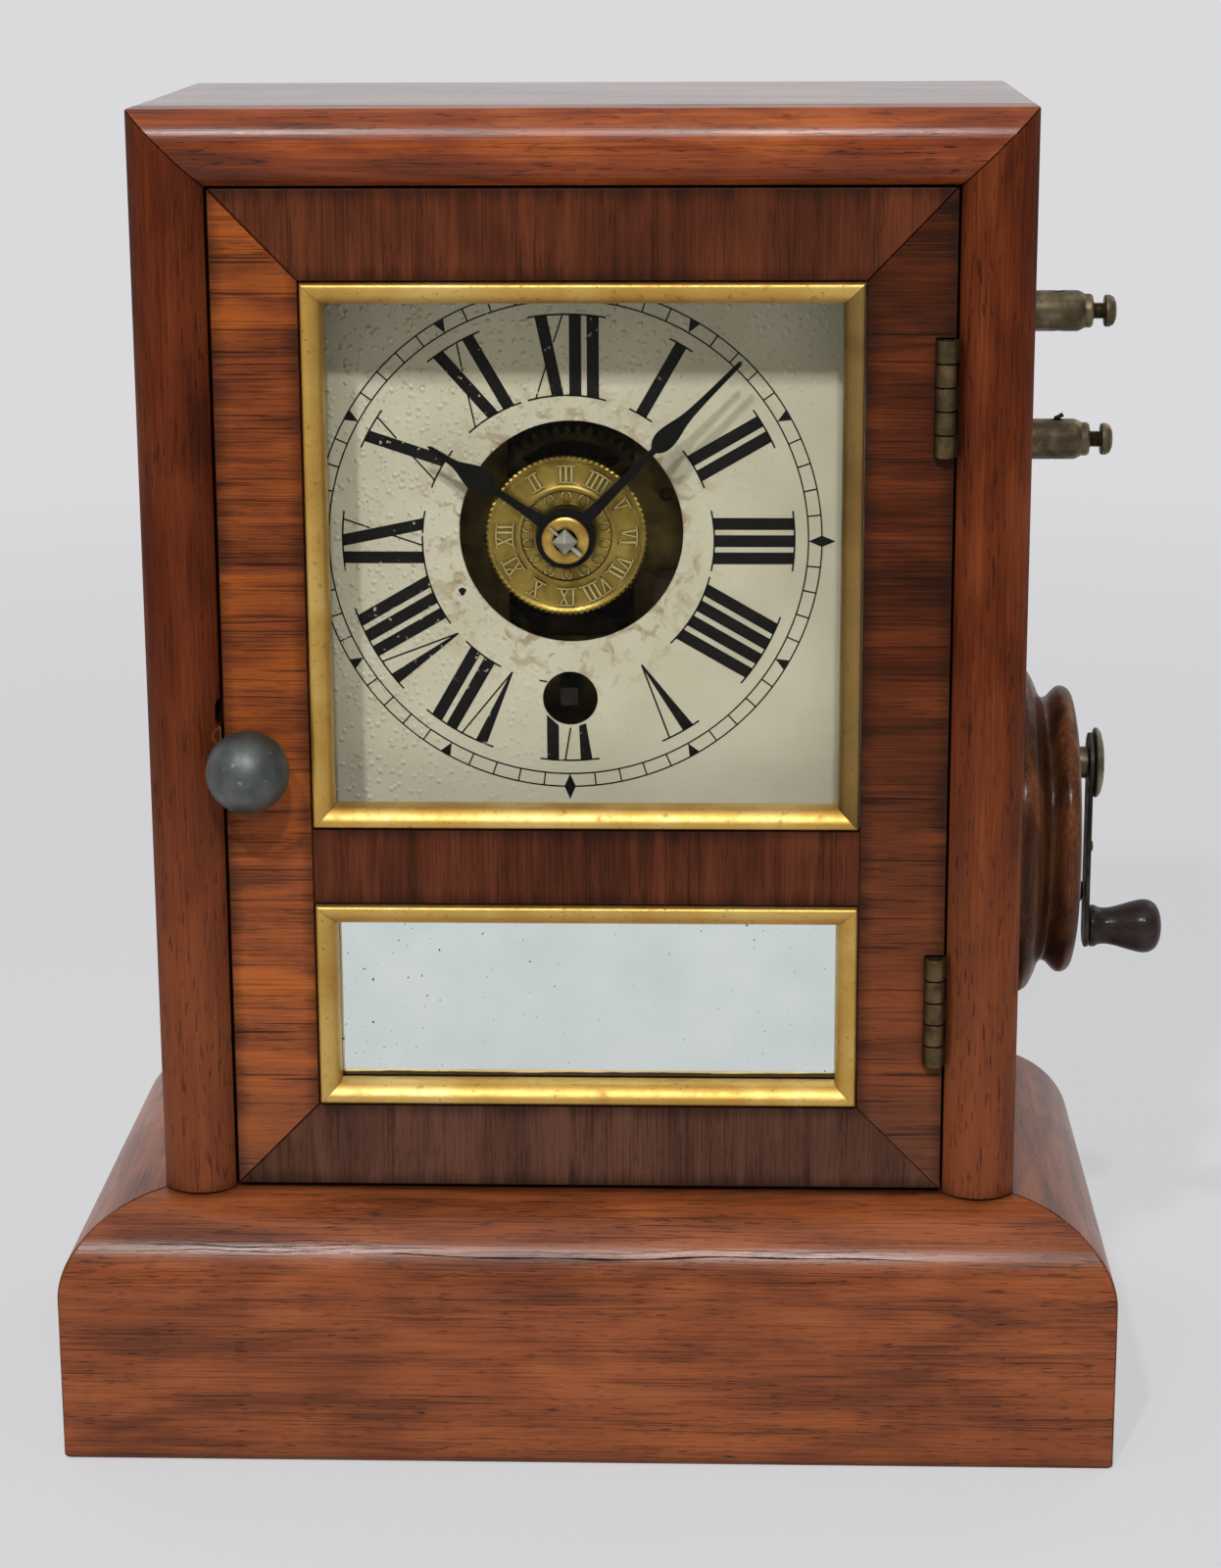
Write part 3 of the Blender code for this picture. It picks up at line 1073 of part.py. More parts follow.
def make_plates(brass):
    """Add the front plate, and the back plate with its pillars, feet and suspension post."""
    journal = WINDING_SQUARE / math.sqrt(2) + RUNNING
    holes = plate_windows()
    holes += [bore(PILLAR_TENON_RADIUS, ROUND, pillar) for pillar in PILLARS]
    holes += [bore(PIVOT_RADIUS, SMALL, place) for place in (THIRD, ESCAPE, VERGE)]
    holes += [bore(CENTRE_ARBOR_RADIUS, ROUND), bore(journal, ROUND, WINDING)]
    front = prism("front_plate", plate_outline(), at_depth(PLATE_DEPTH), at_depth(FRONT_PLATE_BACK), holes)
    piece = node("front_plate", front, brass, arbor_place(CENTRE))
    middle = PLATE_DEPTH + PLATE_THICKNESS / 2
    stud = [(PIVOT_RADIUS, HOUR_WHEEL_DEPTH - 2 * WHEEL_THICKNESS), (PIVOT_RADIUS, middle)]
    stud = turned("stud", [(r, at_depth(d)) for r, d in stud], SMALL, "Y", (MOTION[0], 0.0, MOTION[1]))
    shape(piece, "UNION", stud)
    sink = [(OIL_SINK_RADIUS, PLATE_DEPTH - SEAT), (OIL_SINK_RADIUS, middle)]
    sink = turned("sink", [(r, at_depth(d)) for r, d in sink], ROUND, "Y", (THIRD[0], 0.0, THIRD[1]))
    shape(piece, "DIFFERENCE", sink)
    holes = plate_windows()
    holes += [bore(PIVOT_RADIUS, SMALL, place) for place in (CENTRE, THIRD, ESCAPE)]
    holes += [bore(ARBOR_RADIUS, SMALL, VERGE), bore(2 * PIVOT_RADIUS, ROUND, WINDING)]
    back = prism("back_plate", plate_outline(), at_depth(BACK_PLATE), at_depth(BACK_PLATE_BACK), holes)
    piece = node("back_plate", back, brass, arbor_place(CENTRE))
    tip = PLATE_DEPTH - PLATE_THICKNESS
    shoulder = FRONT_PLATE_BACK + SEAT
    for place in PILLARS:
        steps = [(PILLAR_TENON_RADIUS, tip), (PILLAR_TENON_RADIUS, shoulder)]
        steps += [(PILLAR_RADIUS, shoulder), (PILLAR_RADIUS, BACKBOARD - SEAT)]
        profile = [(r, at_depth(d)) for r, d in steps]
        shape(piece, "UNION", turned("pillar", profile, ROUND - 4, "Y", (place[0], 0.0, place[1])))
    rod_depth = BACK_PLATE_BACK + PENDULUM_BEHIND
    half = 3 * SUSPENSION_LEAF
    arm = (VERGE[0], VERGE[1] + SUSPENSION_LENGTH / 2)
    clamp = block("clamp", (arm[0] - half, at_depth(BACK_PLATE + PLATE_THICKNESS / 2), arm[1]),
                  (arm[0] + half, at_depth(rod_depth + 2 * half), arm[1] + 2 * half))
    jaw = block("jaw", (arm[0] - half, at_depth(rod_depth - 2 * half), VERGE[1] + 2 * SEAT),
                (arm[0] + half, at_depth(rod_depth + 2 * half), arm[1] + half))
    shape(piece, "UNION", clamp, jaw)


def make_verge(steel):
    """Add the verge: arbor, strip with its two pallets, and the crutch behind the back plate."""
    front = FRONT_PLATE_BACK + SEAT
    steps = [(PIVOT_RADIUS, PLATE_DEPTH), (PIVOT_RADIUS, front), (ARBOR_RADIUS, front)]
    crutch_depth = BACK_PLATE_BACK + PENDULUM_BEHIND / 3
    steps += [(ARBOR_RADIUS, crutch_depth + 2 * CRUTCH_RADIUS)]
    piece = node("verge", spindle("verge", steps, ROUND - 4), steel, arbor_place(VERGE), smooth=True)
    tip = ESCAPE_RADIUS + PALLET_CLEARANCE
    span = math.radians(PALLET_SPAN)
    low = [(side * tip * math.sin(span), tip * math.cos(span) - VERGE_ABOVE) for side in (-1, 1)]
    crown = 3 * ARBOR_RADIUS
    bends = [(1.15 * u, v / 3) for u, v in low]
    path = [low[0], bends[0], (0.0, crown / 3), bends[1], low[1]]
    middle = ESCAPE_WHEEL_DEPTH + WHEEL_THICKNESS / 2
    near, far = middle - 2 * WHEEL_THICKNESS, middle + 2 * WHEEL_THICKNESS
    pallets = strip("pallets", path, ARBOR_RADIUS, at_depth(near), at_depth(far))
    ends = [(CRUTCH_RADIUS, 0.0), (CRUTCH_RADIUS, -CRUTCH_LENGTH)]
    wire = turned("wire", ends, SMALL, "Z", (0.0, at_depth(crutch_depth), 0.0))
    rod_depth = BACK_PLATE_BACK + PENDULUM_BEHIND
    inner = PENDULUM_ROD_RADIUS + SEAT
    outer = inner + 1.5 * CRUTCH_RADIUS
    foot = -CRUTCH_LENGTH
    bridge = block("bridge", (-CRUTCH_RADIUS, at_depth(crutch_depth - CRUTCH_RADIUS / 2), foot),
                   (CRUTCH_RADIUS, at_depth(rod_depth - (inner + outer) / 2), foot + 2 * CRUTCH_RADIUS))
    head = foot + 2 * CRUTCH_RADIUS
    loop = [(inner, foot), (outer, foot), (outer, head), (inner, head)]
    ring = turned("ring", loop[::-1], ROUND - 4, "Z", (0.0, at_depth(rod_depth), 0.0), hollow=True)
    shape(piece, "UNION", pallets, wire, bridge, ring)


def make_pendulum(brass, steel):
    """Add the pendulum rod with its suspension leaf, and the bob on its foot."""
    place = arbor_place(VERGE)
    y = at_depth(BACK_PLATE_BACK + PENDULUM_BEHIND)
    half = SUSPENSION_LEAF / 2
    wide = 3 * SUSPENSION_LEAF
    leaf = block("pendulum_rod", (-half, y - wide, -SUSPENSION_LENGTH), (half, y + wide, SEAT))
    rod = node("pendulum_rod", leaf, steel, place)
    low = BOB_RADIUS - PENDULUM_LENGTH + SEAT
    high = 2 * PENDULUM_ROD_RADIUS - SUSPENSION_LENGTH
    ends = [(PENDULUM_ROD_RADIUS, high), (PENDULUM_ROD_RADIUS, low)]
    wire = turned("wire", ends, SMALL, "Z", (0.0, y, 0.0))
    shape(rod, "UNION", wire)
    profile = []
    for i in range(ARC_STEPS + 1):
        angle = math.pi * i / ARC_STEPS
        radius = BOB_RADIUS * math.sin(angle) ** 0.5 if 0 < i < ARC_STEPS else 0.0
        profile.append((radius, y - BOB_THICKNESS / 2 * math.cos(angle)))
    bob = turned("pendulum_bob", profile, FINE - SMALL, "Y", (0.0, 0.0, -PENDULUM_LENGTH))
    node("pendulum_bob", bob, brass, place, smooth=True)


def make_dial(paint, pine):
    """Add the painted dial sheet and the two wooden strips that carry it."""
    half = DIAL_WIDTH / 2
    outline = rectangle(-half, half, DIAL_CENTRE_Z - DIAL_HEIGHT / 2, DIAL_CENTRE_Z + DIAL_HEIGHT / 2)
    eye = (ARBOR_X + DIAL_HOLE_SHIFT, ARBOR_Z)
    winding = (ARBOR_X + WINDING[0], ARBOR_Z + WINDING[1])
    holes = [circle(DIAL_HOLE_RADIUS, FINE, eye), circle(WINDING_HOLE_RADIUS, ROUND, winding)]
    back = DIAL_DEPTH + DIAL_THICKNESS
    node("dial", prism("dial", outline, at_depth(DIAL_DEPTH), at_depth(back), holes), paint)
    outer = INNER_HALF - GLUE_LINE
    low = DIAL_CENTRE_Z - DIAL_HEIGHT / 2
    high = OVERALL_HEIGHT - BOARD - 2 * GLUE_LINE
    for name, side in (("dial_strip_left", -1), ("dial_strip_right", 1)):
        edges = sorted((side * outer, side * (outer - DIAL_STRIP_WIDTH)))
        near = at_depth(back + SEAT)
        mesh = block(name, (edges[0], near, low), (edges[1], near + DIAL_STRIP_THICKNESS, high))
        node(name, mesh, pine)


# Terminals and switch

def make_terminal(name, height, brass):
    """Add a terminal post with its wire hole, and the slotted screw that closes on the wire."""
    place = (CASE_HALF + SEAT, at_depth(TERMINAL_DEPTH), height)
    end = POST_LENGTH + POST_SHOULDER
    shank = -BOARD - 4 * POST_SHANK_RADIUS
    slope = POST_RADIUS - POST_SHOULDER_RADIUS
    profile = [(0.0, shank), (POST_SHANK_RADIUS, shank), (POST_SHANK_RADIUS, 0.0), (POST_RADIUS, 0.0)]
    profile += [(POST_RADIUS, POST_LENGTH), (POST_SHOULDER_RADIUS, POST_LENGTH + slope)]
    profile += [(POST_SHOULDER_RADIUS, end), (0.0, end)]
    post = node(f"{name}_post", turned(f"{name}_post", profile, FINE - SMALL, "X"), brass, place, smooth=True)
    ends = [(WIRE_HOLE_RADIUS, -2 * POST_RADIUS), (WIRE_HOLE_RADIUS, 2 * POST_RADIUS)]
    wire_hole = turned("wire_hole", ends, ROUND - 4, "Z", (WIRE_HOLE_OUT, 0.0, 0.0))
    thread = bore_radius(SCREW_RADIUS, ROUND)
    tapped = turned("tapped", [(thread, WIRE_HOLE_OUT - WIRE_HOLE_RADIUS / 2), (thread, 2 * end)], ROUND, "X")
    shape(post, "DIFFERENCE", wire_hole, tapped)
    tip = WIRE_HOLE_OUT + WIRE_HOLE_RADIUS
    head = end + SCREW_HEAD_GAP
    crown = head + SCREW_HEAD
    steps = [(0.0, tip), (SCREW_RADIUS, tip), (SCREW_RADIUS, head), (SCREW_HEAD_RADIUS, head)]
    steps += [(SCREW_HEAD_RADIUS, head + SCREW_HEAD / 2)]
    steps += [(0.75 * SCREW_HEAD_RADIUS, head + 0.85 * SCREW_HEAD), (0.0, crown)]
    screw = node(f"{name}_screw", turned(f"{name}_screw", steps, ROUND, "X"), brass, place, smooth=True)
    half = SCREW_SLOT / 2
    long = 2 * SCREW_HEAD_RADIUS
    slot = block("slot", (head + SCREW_HEAD / 2, -half, -long), (crown + SCREW_HEAD, half, long))
    shape(screw, "DIFFERENCE", slot)


def make_wire_end(copper):
    """Add the short end of wire left in the lower terminal's hole."""
    x = CASE_HALF + SEAT + WIRE_HOLE_OUT + WIRE_HOLE_RADIUS - SEAT - WIRE_RADIUS
    low = LOWER_TERMINAL_Z - POST_RADIUS
    ends = [(WIRE_RADIUS, low + WIRE_LENGTH), (WIRE_RADIUS, low)]
    wire = turned("wire_end", ends, SMALL, "Z", (x, at_depth(TERMINAL_DEPTH), 0.0))
    node("wire_end", wire, copper, smooth=True)


def make_switch(veneer, brass, ebony):
    """Add the turned switch base, its contact stud and pivot screw, and the lever with its handle."""
    place = (CASE_HALF + SEAT, at_depth(SWITCH_DEPTH), SWITCH_Z)
    profile = [(0.0, 0.0), (SWITCH_FOOT_RADIUS, 0.0)]
    for i in range(5):
        angle = math.pi / 2 * i / 4
        drop = (SWITCH_FOOT_RADIUS - SWITCH_NECK_RADIUS) * (1 - math.cos(angle))
        profile.append((SWITCH_FOOT_RADIUS - drop, SWITCH_FOOT * (0.45 + 0.55 * math.sin(angle))))
    waist = (SWITCH_FOOT + SWITCH_RIM_OUT) / 2
    rim = SWITCH_RIM_OUT - (SWITCH_RIM_OUT - waist) / 3
    profile += [(SWITCH_NECK_RADIUS, waist), (SWITCH_RIM_RADIUS, rim)]
    profile += [(SWITCH_RIM_RADIUS, SWITCH_RIM_OUT), (0.8 * SWITCH_RIM_RADIUS, SWITCH_FACE_OUT)]
    profile.append((0.0, SWITCH_FACE_OUT))
    base = node("switch_base", turned("switch_base", profile, FINE, "X"), veneer, place, smooth=True)
    shank = PIVOT_SHANK_RADIUS
    pivot_z = LEVER_PIVOT_ABOVE
    eye = bore_radius(shank, ROUND)
    ends = [(eye, SWITCH_RIM_OUT / 2), (eye, 2 * SWITCH_FACE_OUT)]
    hole = turned("hole", ends, ROUND, "X", (0.0, 0.0, pivot_z))
    shape(base, "DIFFERENCE", hole)
    lever_place = (place[0], place[1], place[2] + pivot_z)
    under = SWITCH_FACE_OUT + BLADE_LIFT
    over = under + BLADE_THICKNESS
    foot = SWITCH_RIM_OUT / 2 + SEAT
    collar = 0.45 * PIVOT_HEAD_RADIUS
    face = SWITCH_FACE_OUT + SEAT
    steps = [(0.0, foot), (shank, foot), (shank, face), (collar, face), (collar, under - SEAT)]
    steps += [(shank, under - SEAT), (shank, over + SEAT), (PIVOT_HEAD_RADIUS, over + SEAT)]
    steps += [(PIVOT_HEAD_RADIUS, over + 0.4 * PIVOT_HEAD), (0.8 * PIVOT_HEAD_RADIUS, over + 0.8 * PIVOT_HEAD)]
    steps.append((0.0, over + PIVOT_HEAD))
    pivot = turned("switch_pivot", steps, FINE - SMALL, "X")
    node("switch_pivot", pivot, brass, lever_place, smooth=True)
    half = BLADE_WIDTH / 2
    bm = bmesh.new()
    turn_end = 0.85 * PIVOT_HEAD_RADIUS
    outline = [polar(turn_end, -40.0 + 260.0 * i / ROUND) for i in range(ROUND + 1)]
    outline += [(-half, -LEVER_LENGTH - half), (half, -LEVER_LENGTH - half)]
    add_prism(bm, outline, [bore(shank, ROUND)], under, over)
    for vert in bm.verts:
        vert.co = (vert.co.y, vert.co.x, vert.co.z)
    node("switch_blade", to_mesh("switch_blade", bm), brass, lever_place)
    start = over + SEAT
    grip = [(0.0, 0.0), (0.8, 0.0), (0.8, 0.1), (0.7, 0.25), (0.7, 0.4), (0.86, 0.62), (1.0, 0.8)]
    grip += [(0.93, 0.93), (0.6, 1.0), (0.0, 1.0)]
    profile = [(r * HANDLE_RADIUS, start + a * HANDLE_LENGTH) for r, a in grip]
    handle = turned("switch_handle", profile, FINE - SMALL, "X", (0.0, 0.0, -LEVER_LENGTH))
    node("switch_handle", handle, ebony, lever_place, smooth=True)
    dome = [(STUD_RADIUS, face), (STUD_RADIUS, (SWITCH_FACE_OUT + under) / 2)]
    dome.append((0.6 * STUD_RADIUS, under - SEAT))
    stud = turned("switch_stud", dome, ROUND, "X", (0.0, 0.0, -STUD_BELOW))
    node("switch_stud", stud, brass, lever_place, smooth=True)


def main():
    """Build every piece of the clock."""
    clear_scene()
    veneer = finish("mahogany_veneer", (0.16, 0.05, 0.025), 0.4)
    pine = finish("pine", (0.45, 0.30, 0.16), 0.7)
    gilt = finish("worn_gilt", (0.55, 0.38, 0.12), 0.45, 0.8)
    glass = finish("glass", (0.9, 0.92, 0.92), 0.05)
    mirror = finish("mirror", (0.75, 0.76, 0.76), 0.08, 1.0)
    brass = finish("brass", (0.55, 0.42, 0.16), 0.35, 1.0)
    steel = finish("steel", (0.35, 0.35, 0.36), 0.35, 1.0)
    blued = finish("blackened_steel", (0.02, 0.02, 0.022), 0.5, 0.6)
    pewter = finish("tarnished_knob", (0.22, 0.24, 0.26), 0.45, 0.8)
    paint = finish("dial_paint", (0.62, 0.62, 0.54), 0.6)
    fibre = finish("fibre", (0.10, 0.06, 0.05), 0.7)
    ebony = finish("ebonised_wood", (0.025, 0.02, 0.02), 0.4)
    copper = finish("copper_wire", (0.45, 0.25, 0.13), 0.5, 1.0)
    make_mouldings(veneer)
    make_boards(veneer, pine)
    make_plinth(veneer, pine)
    make_door_frame(veneer)
    make_gilt_frame("gilt_frame_upper", "upper", gilt)
    make_gilt_frame("gilt_frame_lower", "lower", gilt)
    make_panes(glass, mirror, pine)
    make_hinge("upper_hinge", UPPER_HINGE_Z, brass, steel)
    make_hinge("lower_hinge", LOWER_HINGE_Z, brass, steel)
    make_knob(pewter, brass)
    make_dial(paint, pine)
    make_plates(brass)
    make_hands(blued, brass, steel)
    make_motion_work(brass, steel)
    make_alarm(brass, fibre)
    make_great_wheel(brass, steel)
    make_mainspring(steel)
    make_third_and_escape(brass)
    make_verge(steel)
    make_pendulum(brass, steel)
    make_terminal("upper_terminal", UPPER_TERMINAL_Z, brass)
    make_terminal("lower_terminal", LOWER_TERMINAL_Z, brass)
    make_wire_end(copper)
    make_switch(veneer, brass, ebony)


main()
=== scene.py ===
"""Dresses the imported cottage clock: veneered case, gilt windows, painted dial, brass work and side switch.

Metres, +Z up, and the front faces -Y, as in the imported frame. A depth is counted back from the plane of
the front mouldings' edges. Sizes are read as seen from the front, X to the right and Z up.
"""

import logging
import math
from collections.abc import Iterable, Sequence
from dataclasses import dataclass
from enum import Enum
from typing import Any

import bmesh
import bpy
from mathutils import Matrix, Vector


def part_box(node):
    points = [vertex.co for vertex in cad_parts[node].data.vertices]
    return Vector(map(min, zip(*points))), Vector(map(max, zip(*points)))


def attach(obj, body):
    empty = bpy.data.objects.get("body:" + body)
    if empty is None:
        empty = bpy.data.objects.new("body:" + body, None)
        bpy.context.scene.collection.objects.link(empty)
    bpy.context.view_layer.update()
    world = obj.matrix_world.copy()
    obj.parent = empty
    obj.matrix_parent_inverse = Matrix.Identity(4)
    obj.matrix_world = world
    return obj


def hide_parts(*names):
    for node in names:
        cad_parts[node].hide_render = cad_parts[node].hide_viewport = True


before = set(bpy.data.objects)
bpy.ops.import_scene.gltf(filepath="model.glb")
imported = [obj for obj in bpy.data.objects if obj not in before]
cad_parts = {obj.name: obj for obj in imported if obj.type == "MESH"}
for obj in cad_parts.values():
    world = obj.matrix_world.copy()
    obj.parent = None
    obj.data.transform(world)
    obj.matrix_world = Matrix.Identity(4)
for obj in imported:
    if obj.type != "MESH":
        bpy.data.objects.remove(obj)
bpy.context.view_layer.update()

LOG = logging.getLogger("cottage_clock")
Flat = tuple[float, float]
Point = tuple[float, float, float]
Mesh = bmesh.types.BMesh
Socket = bpy.types.NodeSocket

FRONT_Y = -0.0409
DIAL_CENTRE = (-0.0045, 0.0, 0.2033)
ARBOR = (-0.0046, 0.2055)
SIDES = (("left", -1), ("right", 1))
HINGES = ("upper", "lower")
NUMERALS = ("XII", "I", "II", "III", "IIII", "V", "VI", "VII", "VIII", "IX", "X", "XI")
CREASE = 35.0


class Body(str, Enum):
    """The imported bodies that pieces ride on."""

    CASE = "case"
    DOOR = "door"
    LATCH = "latch"
    CENTRE = "centre"
    HOUR = "hour"
    ALARM = "alarm"
    LEVER = "lever"
    UPPER_SCREW = "upper_screw"
    LOWER_SCREW = "lower_screw"


class Slot(str, Enum):
    """The record's material slots."""

    MAHOGANY = "mahogany"
    GILT = "gilt"
    BRASS = "brass"
    STEEL = "steel"
    BLACK_STEEL = "blackened_steel"
    TARNISHED = "tarnished_metal"
    DIAL = "dial_paint"
    EBONISED = "ebonised_wood"
    COPPER = "copper"


class Axis(Enum):
    """A direction of the frame: the axis of a turned piece, or the run of a wood's grain."""

    X = 0
    Y = 1
    Z = 2

    def point(self, radius: float, angle: float, along: float) -> Vector:
        """Returns the point at a radius and an angle about the axis."""
        a, b = radius * math.cos(angle), radius * math.sin(angle)
        return Vector(((along, a, b), (a, along, b), (a, b, along))[self.value])


def at_depth(depth: float) -> float:
    """Returns the Y of a depth behind the case front."""
    return FRONT_Y + depth


def srgb(code: str) -> tuple[float, float, float, float]:
    """Turns an sRGB hex colour to linear RGBA."""
    shares = [int(code[i:i + 2], 16) / 255 for i in (1, 3, 5)]
    return (*[c / 12.92 if c <= 0.04045 else ((c + 0.055) / 1.055) ** 2.4 for c in shares], 1.0)


@dataclass(frozen=True)
class Nodes:
    """The shader nodes of a material or of the world, and the steps that the finishes share."""

    tree: bpy.types.NodeTree

    def add(self, kind: str, inputs: dict[str | int, Any] | None = None,
            ramp: Sequence[tuple[float, str]] = (), **settings: Any) -> bpy.types.Node:
        """Adds a shader node with its settings, its constants and its links.

        Args:
            kind: The node's type, without the prefix that all shader nodes have.
            inputs: Input name or number, with the socket to link or the constant to set.
            ramp: The stops of a colour ramp, in rising order, as place and sRGB hex.
            settings: Properties of the node.

        Returns:
            The new node.
        """
        made = self.tree.nodes.new(f"ShaderNode{kind}")
        for key, value in settings.items():
            setattr(made, key, value)
        if ramp:
            stops = made.color_ramp.elements
            for stop, (place, colour) in ((stops[1], ramp[-1]), (stops[0], ramp[0])):
                stop.position, stop.color = place, srgb(colour)
            for place, colour in ramp[1:-1]:
                stops.new(place).color = srgb(colour)
        for key, value in (inputs or {}).items():
            if isinstance(value, Socket):
                self.tree.links.new(value, made.inputs[key])
            else:
                made.inputs[key].default_value = value
        return made

    def calc(self, operation: str, *values: Socket | float) -> Socket:
        """Returns the outcome of a sum on sockets and constants."""
        return self.add("Math", dict(enumerate(values)), operation=operation).outputs[0]

    def span(self, operation: str, *values: Socket | Point) -> Socket:
        """Returns the outcome of a sum on places: a number for a length or a dot product, else a place."""
        made = self.add("VectorMath", dict(enumerate(values)), operation=operation)
        return made.outputs["Value" if operation in ("LENGTH", "DOT_PRODUCT") else "Vector"]

    def remap(self, value: Socket, start: float, end: float, low: float = 0.0, high: float = 1.0) -> Socket:
        """Returns a value moved from the range start to end into the range low to high, and kept in it."""
        return self.add("MapRange", {"Value": value, "From Min": start, "From Max": end, "To Min": low,
                                     "To Max": high}).outputs[0]

    def blend(self, share: Socket, under: Socket, over: str, way: str = "MIX") -> Socket:
        """Returns a colour with a share of another, given as sRGB hex, laid over it."""
        return self.add("Mix", {0: share, 6: under, 7: srgb(over)}, data_type="RGBA",
                        blend_type=way).outputs[2]

    def tones(self, value: Socket, *stops: tuple[float, str]) -> Socket:
        """Returns the colours of a ramp along a value."""
        return self.add("ValToRGB", {"Fac": value}, stops).outputs["Color"]

    def bump(self, height: Socket, strength: float, distance: float) -> Socket:
        """Returns the normal of a fine relief."""
        return self.add("Bump", {"Strength": strength, "Distance": distance, "Height": height}).outputs[0]

    def place(self) -> Socket:
        """Returns the place in the frame."""
        return self.add("TexCoord").outputs["Object"]

    def along(self, axis: Axis) -> Socket:
        """Returns the place along one axis of the frame."""
        return self.add("SeparateXYZ", {0: self.place()}).outputs[axis.value]

    def surface(self, colour: Socket, rough: Socket, more: dict[str, Any]) -> Socket:
        """Returns the shader of an opaque surface, with more inputs by their names."""
        return self.add("BsdfPrincipled", {"Base Color": colour, "Roughness": rough, **more}).outputs[0]

    def seen_by(self, *rays: str) -> list[Socket]:
        """Returns the light path's marks of rays such as Camera or Glossy."""
        path = self.add("LightPath").outputs
        return [path[f"Is {ray} Ray"] for ray in rays]

    def cloud(self, long_mm: float, wide_mm: float, detail: float, axis: Axis = Axis.X,
              twist: float = 0.0) -> Socket:
        """Draws a cloudy pattern in the frame's own place, drawn out along one axis.

        Args:
            long_mm: Size of a cloud along the axis, in millimetres.
            wide_mm: Size of a cloud across it, in millimetres.
            detail: Number of finer layers.
            axis: The axis that the clouds are drawn out along.
            twist: How far the pattern wanders.

        Returns:
            The pattern's value, about 0.5 on average.
        """
        scale = [1000.0 / wide_mm] * 3
        scale[axis.value] = 1000.0 / long_mm
        fitted = self.add("Mapping", {"Vector": self.place(), "Scale": scale}).outputs[0]
        return self.add("TexNoise", {
            "Vector": fitted, "Scale": 1.0, "Detail": detail, "Distortion": twist}).outputs[0]

    def corner_dirt_and_shade(self, reach_mm: float, full: float, none: float) -> Socket:
        """Darkens corners and the ground beside raised edges: dirt that gathers there, and painted shade.

        Args:
            reach_mm: How far from the corner the dirt and the painted shade reach, in millimetres.
            full: Openness at which the dirt and the painted shade are fullest.
            none: Openness at which the surface is clean.

        Returns:
            The share of dirt and painted shade, from 0 to 1.
        """
        # Ambient occlusion: corners and recesses that see little of the surroundings darken, which paints
        # shade there.
        openness = self.add("AmbientOcclusion", {"Distance": reach_mm / 1000.0}, samples=8)
        return self.remap(openness.outputs["AO"], none, full)


@dataclass(frozen=True)
class Finish:
    """A surface, made once as a material and shared by the pieces that have it."""

    name: str

    def material(self) -> bpy.types.Material:
        """Returns the finish's material, drawn at its first use."""
        found = bpy.data.materials.get(self.name)
        if found is None:
            found = bpy.data.materials.new(self.name)
            found.use_nodes = True
            found.node_tree.nodes.clear()
            nodes = Nodes(found.node_tree)
            nodes.add("OutputMaterial", {"Surface": self.draw(nodes)})
        return found

    def draw(self, nodes: Nodes) -> Socket:
        """Draws the nodes and returns the shader's output."""
        raise NotImplementedError


